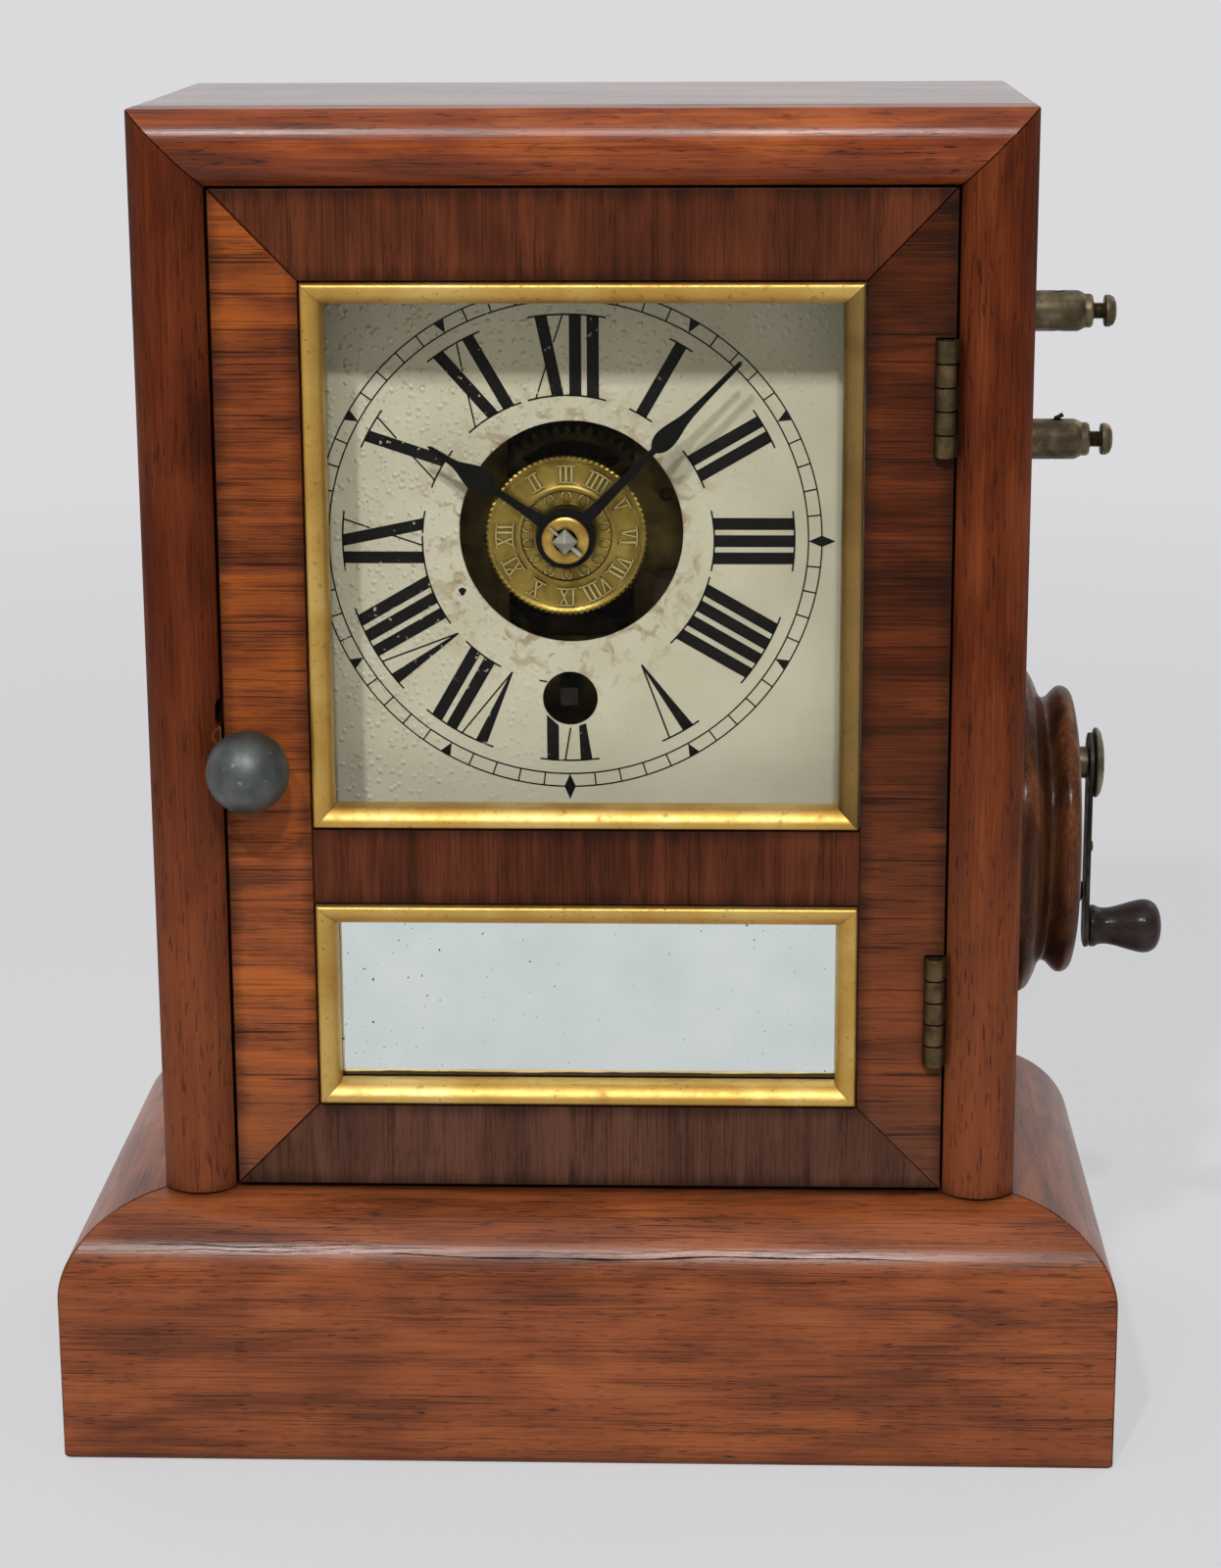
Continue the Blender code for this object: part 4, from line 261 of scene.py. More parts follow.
@dataclass(frozen=True)
class Wood(Finish):
    """Sawn or turned wood: figure, fine streaks and dark pores along the grain, corner darkening, varnish.

    Mahogany veneer gives a streaky red-brown with short dark pores and a soft, uneven shine. Corners and long
    edges darken with dirt and painted shade, and upright members are painted lighter towards the foot.
    Heights and widths of the grime, the painted shade and the painted foot light are in metres, like the
    frame.
    """

    light: str
    middle: str
    dark: str
    grain: Axis
    figure_mm: float = 7.0
    fleck: float = 0.6
    line: float = 0.4
    dirt_and_shade: float = 0.7
    varnish: float = 0.05
    rough: Flat = (0.34, 0.5)
    wrinkle: float = 0.25
    shine: float = 0.06
    edge_axis: Axis = Axis.X
    edges: tuple[float, ...] = ()
    edge_grime_and_shade_widths: Flat = (0.0064, 0.0030)
    pore_mm: Flat = (5.0, 0.3)
    film: float = 0.16
    foot_light: float = 0.0
    foot_light_heights: Flat = (0.192, 0.108)
    dust: float = 0.0
    dust_heights: Flat = (0.098, 0.072)
    relief: float = 0.0005

    def edge_grime_and_shade(self, nodes: Nodes, wander: Socket) -> Socket:
        """Draws darkening along a member's long edges: grime there, and painted shade.

        Args:
            nodes: The material's nodes.
            wander: A cloudy value that makes the border of the grime and painted shade uneven.

        Returns:
            The share of grime and painted shade, from 0 to 1.
        """
        width = nodes.calc("ABSOLUTE", nodes.along(self.edge_axis))
        least = None
        for edge in self.edges:
            gap = nodes.calc("ABSOLUTE", nodes.calc("SUBTRACT", width, edge))
            least = gap if least is None else nodes.calc("MINIMUM", least, gap)
        # Grime and painted shade: darker the nearer a long edge of the member.
        return nodes.remap(nodes.calc("MULTIPLY_ADD", wander, 0.006, least), *self.edge_grime_and_shade_widths, high=0.6)

    def foot_light_and_dust(self, nodes: Nodes, colour: Socket, wander: Socket) -> Socket:
        """Draws painted light that makes an upright member paler towards its foot, and the dust at the foot.

        Args:
            nodes: The material's nodes.
            colour: The wood's colour.
            wander: A cloudy value that makes the borders uneven.

        Returns:
            The paler colour.
        """
        height = nodes.calc("MULTIPLY_ADD", wander, 0.02, nodes.along(Axis.Z))
        share = nodes.remap(height, *self.foot_light_heights, high=self.foot_light)
        # Painted light: a warm pale colour added more and more towards the foot.
        foot_lit = nodes.blend(share, colour, "#815035", "ADD")
        return nodes.blend(nodes.remap(height, *self.dust_heights, high=self.dust), foot_lit, "#5e4236")

    def draw(self, nodes: Nodes) -> Socket:
        """Draws the wood and returns its shader."""
        figure = nodes.cloud(9 * self.figure_mm, self.figure_mm, 4.0, self.grain, 0.9)
        streak = nodes.cloud(22.0, 0.45, 3.0, self.grain, 0.25)
        # A real thread is about 0.2 mm wide, which would not show, so it is drawn twice as wide.
        thread = nodes.cloud(30.0, 0.42, 1.0, self.grain, 0.2)
        pore = nodes.cloud(*self.pore_mm, 1.0, self.grain)
        cloudy = nodes.cloud(50.0, 20.0, 2.0, self.grain, 0.8)
        tone = nodes.calc("MULTIPLY", figure, 0.34)
        for layer, share in ((streak, 0.24), (cloudy, 0.42)):
            tone = nodes.calc("MULTIPLY_ADD", layer, share, tone)
        base = nodes.tones(tone, (0.39, self.dark), (0.5, self.middle), (0.61, self.light))
        # Upright members are painted lighter towards their foot.
        if self.foot_light:
            base = self.foot_light_and_dust(nodes, base, figure)
        marks = nodes.calc("MAXIMUM", nodes.remap(pore, 0.61, 0.67, high=self.fleck),
                           nodes.remap(thread, 0.59, 0.65, high=self.line))
        flecks = nodes.calc("MULTIPLY", marks, nodes.remap(figure, 0.62, 0.40, 0.45))
        # Corners and long edges darken towards near black: dirt and painted shade.
        soiled_and_shaded = nodes.calc("MULTIPLY", nodes.corner_dirt_and_shade(5.0, 0.45, 0.9), self.dirt_and_shade)
        if self.edges:
            soiled_and_shaded = nodes.calc("MAXIMUM", soiled_and_shaded, self.edge_grime_and_shade(nodes, figure))
        colour = nodes.blend(soiled_and_shaded, nodes.blend(flecks, base, "#220e06"), "#1a0e09")
        smooth, dull = self.rough
        height = nodes.calc("MULTIPLY_ADD", flecks, -0.8, streak)
        return nodes.surface(colour, nodes.remap(tone, 0.35, 0.65, dull, smooth), {
            "Normal": nodes.bump(height, self.wrinkle, self.relief), "Specular IOR Level": self.shine,
            "Coat Weight": self.varnish, "Coat Roughness": self.film,
            "Coat Normal": nodes.bump(height, 0.2 * self.wrinkle, self.relief)})


@dataclass(frozen=True)
class Mottled(Finish):
    """A metal or moulded surface of soft patches of tone, specks, and dirt and painted shade in its corners.

    Handled brass gives warm and brown-green patches; blackened steel gives a dull, slightly blue black.
    """

    light: str
    dark: str
    dirt_and_shade_colour: str
    metallic: float
    rough: Flat
    patch_mm: float = 6.0
    speck_mm: float = 0.5
    speck: float = 0.5
    dirt_and_shade: float = 0.8
    dirt_and_shade_mm: float = 1.2
    grit: float = 0.15
    shine: float = 0.5
    speck_from: float = 0.62

    def draw(self, nodes: Nodes) -> Socket:
        """Draws the mottled surface and returns its shader."""
        patch = nodes.cloud(self.patch_mm, self.patch_mm, 5.0, twist=0.4)
        speck = nodes.cloud(self.speck_mm, self.speck_mm, 2.0)
        base = nodes.tones(patch, (0.34, self.dark), (0.64, self.light))
        spots = nodes.remap(speck, self.speck_from, self.speck_from + 0.08, high=self.speck)
        # Corners darken towards the dirt colour: dirt, and painted shade.
        gathered_dirt_and_shade = nodes.calc("MULTIPLY", nodes.corner_dirt_and_shade(self.dirt_and_shade_mm, 0.4, 0.92), self.dirt_and_shade)
        colour = nodes.blend(nodes.calc("MAXIMUM", gathered_dirt_and_shade, spots), base, self.dirt_and_shade_colour)
        smooth, dull = self.rough
        return nodes.surface(colour, nodes.remap(patch, 0.3, 0.7, dull, smooth), {
            "Metallic": self.metallic, "Normal": nodes.bump(speck, self.grit, 0.0002),
            "Specular IOR Level": self.shine})


@dataclass(frozen=True)
class GoldLeaf(Finish):
    """Burnished gold leaf on red clay: bright gold, brown wear, dark specks, dirt and painted shade at its
    edges.
    """

    light: str = "#dfbd70"
    middle: str = "#d1a956"
    dark: str = "#c19542"

    def draw(self, nodes: Nodes) -> Socket:
        """Draws the leaf and returns its shader."""
        sheet = nodes.cloud(24.0, 24.0, 4.0, twist=0.6)
        rub = nodes.cloud(2.0, 2.0, 6.0)
        speck = nodes.cloud(0.6, 0.6, 2.0)
        base = nodes.tones(sheet, (0.34, self.dark), (0.5, self.middle), (0.66, self.light))
        rubbed = nodes.blend(nodes.remap(rub, 0.62, 0.74, high=0.5), base, "#7a4f22")
        spots = nodes.remap(speck, 0.68, 0.74, high=0.85)
        # Dark specks, and dirt and painted shade in the corners beside the frame.
        soiled_and_shaded = nodes.calc("MAXIMUM", nodes.corner_dirt_and_shade(0.6, 0.2, 0.5), spots)
        colour = nodes.blend(soiled_and_shaded, rubbed, "#33230f")
        return nodes.surface(colour, nodes.remap(rub, 0.3, 0.7, 0.40, 0.56), {
            "Metallic": nodes.remap(soiled_and_shaded, 0.0, 1.0, 0.9, 0.2), "Normal": nodes.bump(rub, 0.25, 0.0002),
            "Coat Weight": 0.3, "Coat Roughness": 0.34})


@dataclass(frozen=True)
class Silvering(Finish):
    """Old silvered glass: clear cool reflection, black foxing mostly at the left, painted shade along the
    foot.
    """

    foot: float
    foxed: Flat = (-0.020, -0.057)
    creep: float = 0.0012

    def draw(self, nodes: Nodes) -> Socket:
        """Draws the mirror and returns its shader."""
        haze = nodes.cloud(14.0, 14.0, 4.0)
        fine = nodes.cloud(1.0, 1.0, 3.0)
        lean = nodes.remap(nodes.along(Axis.X), *self.foxed, high=0.04)
        specks = nodes.remap(nodes.calc("ADD", fine, lean), 0.725, 0.745)
        # Painted shade: a black line along the mirror's foot, where the gilt frame's ledge meets it.
        shade_line_top = nodes.calc("MULTIPLY_ADD", haze, self.creep, self.foot)
        edge = nodes.remap(nodes.calc("SUBTRACT", nodes.along(Axis.Z), shade_line_top), 0.0003, 0.0)
        foxing_and_shade_line = nodes.calc("MAXIMUM", specks, edge)
        colour = nodes.blend(foxing_and_shade_line, nodes.tones(haze, (0.3, "#e0e9e7"), (0.7, "#ecf3f1")), "#191817")
        return nodes.surface(colour, nodes.remap(haze, 0.3, 0.7, 0.03, 0.09), {
            "Metallic": nodes.remap(foxing_and_shade_line, 0.0, 1.0, 1.0, 0.1)})


@dataclass(frozen=True)
class WindowGlass(Finish):
    """Thin cylinder glass: clear, with a faint wave in its reflections, which its front faces alone give."""

    def draw(self, nodes: Nodes) -> Socket:
        """Draws the glass and returns its shader."""
        normal = nodes.bump(nodes.cloud(40.0, 16.0, 1.0), 0.12, 0.0004)
        fresnel = nodes.add("Fresnel", {"IOR": 1.16, "Normal": normal}).outputs[0]
        inside = nodes.add("NewGeometry").outputs["Backfacing"]
        edge = nodes.add("Mix", {0: inside, 2: fresnel, 3: 0.0}).outputs[0]
        clear = nodes.add("BsdfTransparent", {"Color": srgb("#fbfaf5")}).outputs[0]
        shine = nodes.add("BsdfAnisotropic", {"Roughness": 0.03, "Normal": normal}).outputs[0]
        return nodes.add("MixShader", {0: edge, 1: clear, 2: shine}).outputs[0]


@dataclass(frozen=True)
class StudioPaper(Finish):
    """Matt pale floor paper that glows to the eye and in reflections: a little near the clock, whose shadow
    it keeps, and fully far away, where it is the background.
    """

    tone: str
    glow: float = 0.63
    glow_reach: Flat = (0.5, 1.3)

    def draw(self, nodes: Nodes) -> Socket:
        """Draws the paper and returns its shader."""
        colour = nodes.tones(nodes.cloud(3.0, 3.0, 3.0), (0.2, self.tone), (0.8, "#e0e0e2"))
        paper = nodes.add("BsdfDiffuse", {"Color": colour}).outputs[0]
        lit = nodes.add("Emission", {"Color": srgb("#dadadc"), "Strength": 1.0}).outputs[0]
        seen, *others = nodes.seen_by("Camera", "Glossy", "Transmission")
        for other in others:
            seen = nodes.calc("MAXIMUM", seen, other)
        glow = nodes.remap(nodes.span("LENGTH", nodes.place()), *self.glow_reach, self.glow)
        return nodes.add("MixShader", {0: nodes.calc("MULTIPLY", seen, glow), 1: paper, 2: lit}).outputs[0]


@dataclass(frozen=True)
class DialPaint(Finish):
    """Aged white lead paint on zinc: grey-cream, blistered and flaked at upper left, stained at the hole."""

    centre: Point
    stain_reach: Flat = (0.038, 0.0265)
    blister_mm: float = 1.7

    def draw(self, nodes: Nodes) -> Socket:
        """Draws the paint and returns its shader."""
        across = nodes.span("MULTIPLY", nodes.span("SUBTRACT", nodes.place(), self.centre), (1.0, 0.0, 1.0))
        lean = nodes.span("DOT_PRODUCT", across, (-0.8, 0.0, 0.6))
        bad_side = nodes.remap(lean, -0.035, 0.03, 0.12)
        near_hole = nodes.remap(nodes.span("LENGTH", across), *self.stain_reach)
        cells = nodes.add("TexVoronoi", {"Vector": nodes.place(), "Scale": 1000.0 / self.blister_mm}).outputs
        base = nodes.tones(nodes.cloud(26.0, 26.0, 3.0), (0.3, "#cac8b5"), (0.5, "#d5d3c1"), (0.7, "#dedccd"))
        brown = nodes.remap(nodes.cloud(3.6, 3.6, 5.0, twist=0.8), 0.50, 0.64, high=0.8)
        warm = nodes.blend(nodes.calc("MULTIPLY", brown, near_hole), base, "#a89272")
        dome = nodes.remap(cells["Distance"], 0.42, 0.12)
        raised = nodes.calc("MULTIPLY", dome, nodes.remap(cells["Color"], 0.5, 0.6))
        blisters = nodes.calc("MULTIPLY", raised, bad_side)
        flake = nodes.remap(nodes.cloud(0.7, 0.7, 2.0), 0.67, 0.73, high=0.8)
        colour = nodes.blend(nodes.calc("MULTIPLY", flake, bad_side), warm, "#6d5a40")
        return nodes.surface(colour, nodes.remap(blisters, 0.0, 1.0, 0.42, 0.28), {
            "Normal": nodes.bump(blisters, 0.6, 0.0005), "Specular IOR Level": 0.3})


@dataclass(frozen=True)
class DialInk(Finish):
    """Black japan paint on the dial: a deep black that has chipped to the ground, most of all on the left."""

    centre: Point

    def draw(self, nodes: Nodes) -> Socket:
        """Draws the lettering paint and returns its shader."""
        across = nodes.span("SUBTRACT", nodes.place(), self.centre)
        bad_side = nodes.remap(nodes.span("DOT_PRODUCT", across, (-0.9, 0.0, 0.2)), -0.03, 0.03)
        tone = nodes.cloud(5.0, 5.0, 3.0)
        lost = nodes.remap(nodes.cloud(1.3, 1.3, 2.0), 0.685, 0.71)
        base = nodes.tones(tone, (0.3, "#0b0b0c"), (0.7, "#161617"))
        colour = nodes.blend(nodes.calc("MULTIPLY", lost, bad_side), base, "#c2c0ae")
        return nodes.surface(colour, nodes.remap(tone, 0.0, 1.0, 0.35, 0.6), {"Specular IOR Level": 0.15})


# Edges of the door's members, along which grime and painted shade darken the wood.
STILE_EDGES = (0.0607, 0.0796)
RAIL_EDGES = (0.0592, 0.0785, 0.1258, 0.1430, 0.2638, 0.2834)
# The side mouldings are painted lighter towards their foot.
MOULDING_WOOD = {
    side: Wood(f"mahogany_moulding_varnished_{side}", *tones, Axis.Z, figure_mm=6.0, fleck=0.65, line=0.2,
               pore_mm=(5.0, 0.5), foot_light=0.42)
    for side, tones in (("left", ("#6d3318", "#59250f", "#401708")),
                        ("right", ("#783b1c", "#622b11", "#461a09")))}
TOP_MOULDING_WOOD = Wood(
    "mahogany_moulding_top_varnished", "#a85724", "#853b14", "#5c260b", Axis.X, figure_mm=6.0, fleck=0.8,
    line=0.35, varnish=0.45, rough=(0.3, 0.42), pore_mm=(5.0, 0.5), film=0.24)
# The stiles are painted lighter towards their foot, and dusty at the foot.
STILE_WOOD = {
    side: Wood(f"mahogany_veneer_{side}_stile", *tones, Axis.X, fleck=0.5, line=line, edges=STILE_EDGES,
               foot_light=foot_light, dust=0.6)
    for side, tones, line, foot_light in (("left", ("#a0531f", "#7f401f", "#542914"), 0.85, 0.42),
                                     ("right", ("#73371a", "#522510", "#311507"), 0.8, 0.38))}
RAIL_WOOD, FOOT_RAIL_WOOD = (
    Wood(name, *tones, Axis.Z, figure_mm=5.0, fleck=0.5, line=0.5, edge_axis=Axis.Z, edges=RAIL_EDGES)
    for name, tones in (("mahogany_veneer_rail", ("#67351e", "#532917", "#3f1f0f")),
                        ("mahogany_veneer_foot_rail", ("#664234", "#5a3a2c", "#4c3126"))))
PLINTH_WOOD = {
    axis: Wood(f"mahogany_plinth_varnished_{axis.name.lower()}", "#9f582f", "#8b4925", "#68351b", axis,
               figure_mm=6.0, fleck=0.85, line=0.6, dirt_and_shade=0.6, varnish=0.42, rough=(0.32, 0.45), film=0.23)
    for axis in (Axis.X, Axis.Y)}
SIDE_WOOD = Wood("mahogany_side_varnished", "#7d4026", "#6e371e", "#5c2c17", Axis.Z, figure_mm=5.0, line=0.35,
                 varnish=0.15)
TOP_WOOD = Wood("mahogany_top_varnished", "#7f4a33", "#683a27", "#4d2a1c", Axis.X, figure_mm=8.0, fleck=0.5,
                line=0.3, dirt_and_shade=0.5, varnish=0.8, shine=0.4)
TURNED_WOOD = Wood("walnut_turned_stained", "#7f4b2c", "#57321d", "#331c10", Axis.Z, figure_mm=5.0, dirt_and_shade=0.75,
                   varnish=0.16, rough=(0.3, 0.42))
EBONISED = Wood("beech_ebonised_turned", "#3d3430", "#2c2522", "#1d1816", Axis.X, figure_mm=5.0, fleck=0.3,
                line=0.2, dirt_and_shade=0.5, varnish=0.2, rough=(0.34, 0.48))
BARE_WOOD = Wood("mahogany_split_bare", "#b98059", "#a46c48", "#875437", Axis.Z, figure_mm=3.0, fleck=0.4,
                 line=0.3, dirt_and_shade=0.5, varnish=0.0, rough=(0.6, 0.8))
PINE = Wood("pine_sawn", "#b58c5a", "#a37a4a", "#8d6539", Axis.Z, figure_mm=4.0, fleck=0.25, line=0.5,
            varnish=0.0, rough=(0.6, 0.8))
GILT = GoldLeaf("gold_leaf_worn")
# A darker copy of the gold leaf: painted shade on the upper window's right strip.
SHADED_GILT = GoldLeaf("gold_leaf_shaded_copy", "#997a3f", "#8b6d37", "#775b2b")
MIRROR = Silvering("mirror_glass_silvered", 0.0837)
GLASS = WindowGlass("window_glass_thin")
PAINT = DialPaint("lead_paint_aged", DIAL_CENTRE)
INK = DialInk("black_japan_chipped", DIAL_CENTRE)
DISC_BRASS = Mottled("brass_stamped_lacquered", "#b39c55", "#8a7539", "#3b2f14", 1.0, (0.34, 0.5),
                     patch_mm=5.0, speck=0.25, dirt_and_shade=0.9, dirt_and_shade_mm=0.8)
RELIEF_BRASS = Mottled("brass_stamped_rubbed", "#e2d49c", "#c3b272", "#6a5a2c", 1.0, (0.28, 0.42),
                       patch_mm=3.0, speck=0.15)
COLLET_BRASS = Mottled("brass_turned_bright", "#d9b667", "#b8934b", "#4d3f20", 1.0, (0.26, 0.4), patch_mm=3.0,
                       speck=0.2)
HINGE_BRASS = Mottled("brass_rolled_dull", "#6b5a3c", "#493c27", "#1f1810", 0.9, (0.42, 0.6), patch_mm=4.0,
                      speck_mm=0.6)
POST_BRASS = Mottled("brass_turned_tarnished", "#796c54", "#4f4535", "#221c13", 0.9, (0.36, 0.55),
                     patch_mm=5.0, speck_mm=0.7, speck=0.4)
# Movement brass kept dark: dirt, and painted shade for the unlit inside of the case.
DIRTY_SHADED_MOVEMENT_BRASS = Mottled("brass_rolled_movement", "#655630", "#3f341c", "#120e07", 1.0, (0.42, 0.6),
                         patch_mm=7.0, speck_mm=0.7, dirt_and_shade=0.9, dirt_and_shade_mm=3.0)
STEEL = Mottled("steel_turned", "#a3a6a8", "#74777a", "#3a342c", 1.0, (0.24, 0.42), patch_mm=4.0, speck=0.3)
# Oiled steel kept darker still, painted shade for the arbors seen through the winding hole.
OILED_SHADED_STEEL = Mottled("steel_turned_oiled_shaded", "#393733", "#23211f", "#110f0c", 1.0, (0.36, 0.5), patch_mm=4.0,
                     speck=0.4)
TIP_STEEL = Mottled("steel_filed", "#c4c5c0", "#9b9c97", "#55514a", 0.55, (0.36, 0.5), patch_mm=3.0,
                    speck=0.3)
BLACK_STEEL = Mottled("steel_blackened", "#101011", "#09090a", "#050505", 0.0, (0.45, 0.6), patch_mm=5.0,
                      speck=0.2, shine=0.1)
BLADE_STEEL = Mottled("steel_sprung_tarnished", "#4b463c", "#2b2822", "#171410", 0.9, (0.4, 0.6),
                      patch_mm=5.0, speck_mm=0.6, speck=0.4)
KNOB_METAL = Mottled("pewter_cast_dull", "#6b6f6d", "#4c4f4d", "#93a698", 0.85, (0.46, 0.58), patch_mm=7.0,
                     speck_mm=1.7, speck=0.7, dirt_and_shade=0.15, dirt_and_shade_mm=2.0, grit=0.3, speck_from=0.7)
FIBRE = Mottled("vulcanised_fibre", "#33201a", "#241512", "#120b09", 0.0, (0.55, 0.7), patch_mm=4.0,
                speck=0.3, shine=0.2)
COPPER = Mottled("copper_wire_drawn", "#4a3626", "#2d2119", "#16110d", 1.0, (0.4, 0.55), patch_mm=3.0,
                 speck_mm=0.4, speck=0.4)
CRACK = Mottled("crack_shadow", "#1d100a", "#120a06", "#0a0604", 0.0, (0.7, 0.85), patch_mm=2.0, speck_mm=0.4,
                speck=0.2, shine=0.1)


def skin(loops: Sequence[Sequence[Any]], closed: bool = False, bm: Mesh | None = None) -> Mesh:
    """Joins closed loops of points into a surface, and caps its ends.

    Args:
        loops: Loops with the same number of points.
        closed: Whether the last loop joins the first, as round a frame.
        bm: The mesh to add to, if not a new one.

    Returns:
        The mesh.
    """
    bm = bm or bmesh.new()
    rows = [[bm.verts.new(point) for point in loop] for loop in loops]
    for row, other in zip(rows, rows[1:] + (rows[:1] if closed else [])):
        for i in range(len(row)):
            j = (i + 1) % len(row)
            bm.faces.new((row[i], row[j], other[j], other[i]))
    if not closed:
        bm.faces.new(rows[0][::-1])
        bm.faces.new(rows[-1])
    return bm


def lathe(profile: Sequence[Flat], axis: Axis, centre: Sequence[float], steps: int = 48, hollow: bool = False,
          bm: Mesh | None = None) -> Mesh:
    """Turns a profile about an axis.

    Args:
        profile: Radius and place along the axis.
        axis: The axis of the turning.
        centre: A point on the axis.
        steps: Number of facets round the piece.
        hollow: Whether the profile closes on itself round a bore.
        bm: The mesh to add to, if not a new one.

    Returns:
        The mesh.
    """
    bm = bm or bmesh.new()
    rows = []
    for radius, along in profile:
        spots = [axis.point(radius, turn, along) for turn in turns(steps if radius > 1e-7 else 1)]
        rows.append([bm.verts.new(spot + Vector(centre)) for spot in spots])
    for row, other in zip(rows, rows[1:] + (rows[:1] if hollow else [])):
        for i in range(steps):
            j = (i + 1) % steps
            corners = [row[i % len(row)], row[j % len(row)], other[j % len(other)], other[i % len(other)]]
            bm.faces.new(list(dict.fromkeys(corners)))
    if not hollow:
        for row in (rows[0], rows[-1]):
            if len(row) > 1:
                bm.faces.new(row)
    return bm


def slab(outline: Sequence[Flat], near: float, far: float, holes: Iterable[Sequence[Flat]] = (),
         bm: Mesh | None = None) -> Mesh:
    """Fills an outline in the XZ plane, less its holes, and thickens it from one Y to another.

    Args:
        outline: Points of the outline.
        near: Y of the front face.
        far: Y of the back face.
        holes: Outlines of the holes.
        bm: The mesh to add to, if not a new one.

    Returns:
        The mesh.
    """
    bm = bm or bmesh.new()
    before = set(bm.faces)
    edges = []
    for loop in [outline, *holes]:
        verts = [bm.verts.new((u, near, v)) for u, v in loop]
        edges += [bm.edges.new((a, b)) for a, b in zip(verts, verts[1:] + verts[:1])]
    bmesh.ops.triangle_fill(bm, edges=edges, use_beauty=True)
    faces = [face for face in bm.faces if face not in before]
    grown = bmesh.ops.extrude_face_region(bm, geom=faces)["geom"]
    moved = [item for item in grown if isinstance(item, bmesh.types.BMVert)]
    bmesh.ops.translate(bm, verts=moved, vec=(0.0, far - near, 0.0))
    return bm


def box(low: Sequence[float], high: Sequence[float], bm: Mesh | None = None) -> Mesh:
    """Returns a mesh with a plain block between two corners."""
    corners = [(low[0], low[2]), (high[0], low[2]), (high[0], high[2]), (low[0], high[2])]
    return skin([[(u, y, v) for u, v in corners] for y in (low[1], high[1])], bm=bm)


def turns(steps: int) -> list[float]:
    """Returns the angles of even steps round a circle."""
    return [2 * math.pi * i / steps for i in range(steps)]


def ring(radius: float, centre: Flat, steps: int = 64) -> list[Flat]:
    """Returns the points of a circle in the XZ plane."""
    return [(centre[0] + radius * math.cos(turn), centre[1] + radius * math.sin(turn))
            for turn in turns(steps)]


def outward(profile: Sequence[Flat], start: float) -> list[Flat]:
    """Returns a turned profile, given as radius and distance out, from where it starts."""
    return [(radius, start + out) for radius, out in profile]


def smooth_line(points: Sequence[Flat], steps: int = 6) -> list[Flat]:
    """Draws an even curve through points, as a bent batten would.

    Args:
        points: The points to pass through.
        steps: Number of pieces between two points.

    Returns:
        The finer line.
    """
    line = []
    for i in range(len(points) - 1):
        p0, p1, p2, p3 = (Vector(points[min(max(i + k, 0), len(points) - 1)]) for k in (-1, 0, 1, 2))
        for step in range(steps):
            t = step / steps
            spot = 0.5 * (2 * p1 + (p2 - p0) * t + (2 * p0 - 5 * p1 + 4 * p2 - p3) * t * t
                          + (3 * p1 - p0 - 3 * p2 + p3) * t ** 3)
            line.append((spot.x, spot.y))
    return [*line, tuple(points[-1])]


def turn_to(bm: Mesh, degrees: float, place: Point) -> Mesh:
    """Turns a mesh clockwise as seen from the front, moves it to its place and returns it."""
    bmesh.ops.rotate(bm, verts=bm.verts, cent=(0.0, 0.0, 0.0),
                     matrix=Matrix.Rotation(math.radians(degrees), 3, "Y"))
    bmesh.ops.translate(bm, verts=bm.verts, vec=place)
    return bm


def link_object(name: str, data: bpy.types.ID) -> bpy.types.Object:
    """Returns a new object of a mesh, a light or a camera, put into the scene."""
    made = bpy.data.objects.new(name, data)
    bpy.context.scene.collection.objects.link(made)
    return made


def mesh_object(name: str, bm: Mesh) -> bpy.types.Object:
    """Returns a new object of a mesh, which is used up."""
    mesh = bpy.data.meshes.new(name)
    bm.to_mesh(mesh)
    bm.free()
    return link_object(name, mesh)


def shade(mesh: bpy.types.Mesh, crease: float = CREASE) -> None:
    """Shades a mesh smooth up to an angle between its faces."""
    mesh.shade_smooth()
    mesh.set_sharp_from_angle(angle=math.radians(crease))


def soften(piece: bpy.types.Object, width: float, limit: float) -> None:
    """Softens a piece's edges above an angle, in radians."""
    soft = piece.modifiers.new("soft_edges", "BEVEL")
    soft.width, soft.segments, soft.limit_method, soft.angle_limit = width, 2, "ANGLE", limit
    soft.harden_normals = True


def add_piece(name: str, bm: Mesh, finish: Finish, body: Body, replaced: Sequence[str] = (),
              edge: float = 0.0, crease: float = CREASE) -> bpy.types.Object:
    """Makes a visible piece of a mesh, dresses it and lets it ride on its body.

    Args:
        name: The piece's own name.
        bm: Its mesh, which is used up.
        finish: Its finish.
        body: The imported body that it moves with.
        replaced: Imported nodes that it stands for.
        edge: Width of the softened edges, or 0.
        crease: Angle above which an edge stays sharp.

    Returns:
        The piece's object.
    """
    bmesh.ops.recalc_face_normals(bm, faces=bm.faces)
    piece = mesh_object(name, bm)
    shade(piece.data, crease)
    piece.data.materials.append(finish.material())
    if edge:
        soften(piece, edge, math.radians(crease))
    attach(piece, body.value)
    if replaced:
        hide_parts(*replaced)
    LOG.info("%s rides on %s, stands for %s", name, body.value, ", ".join(replaced) or "no node")
    return piece


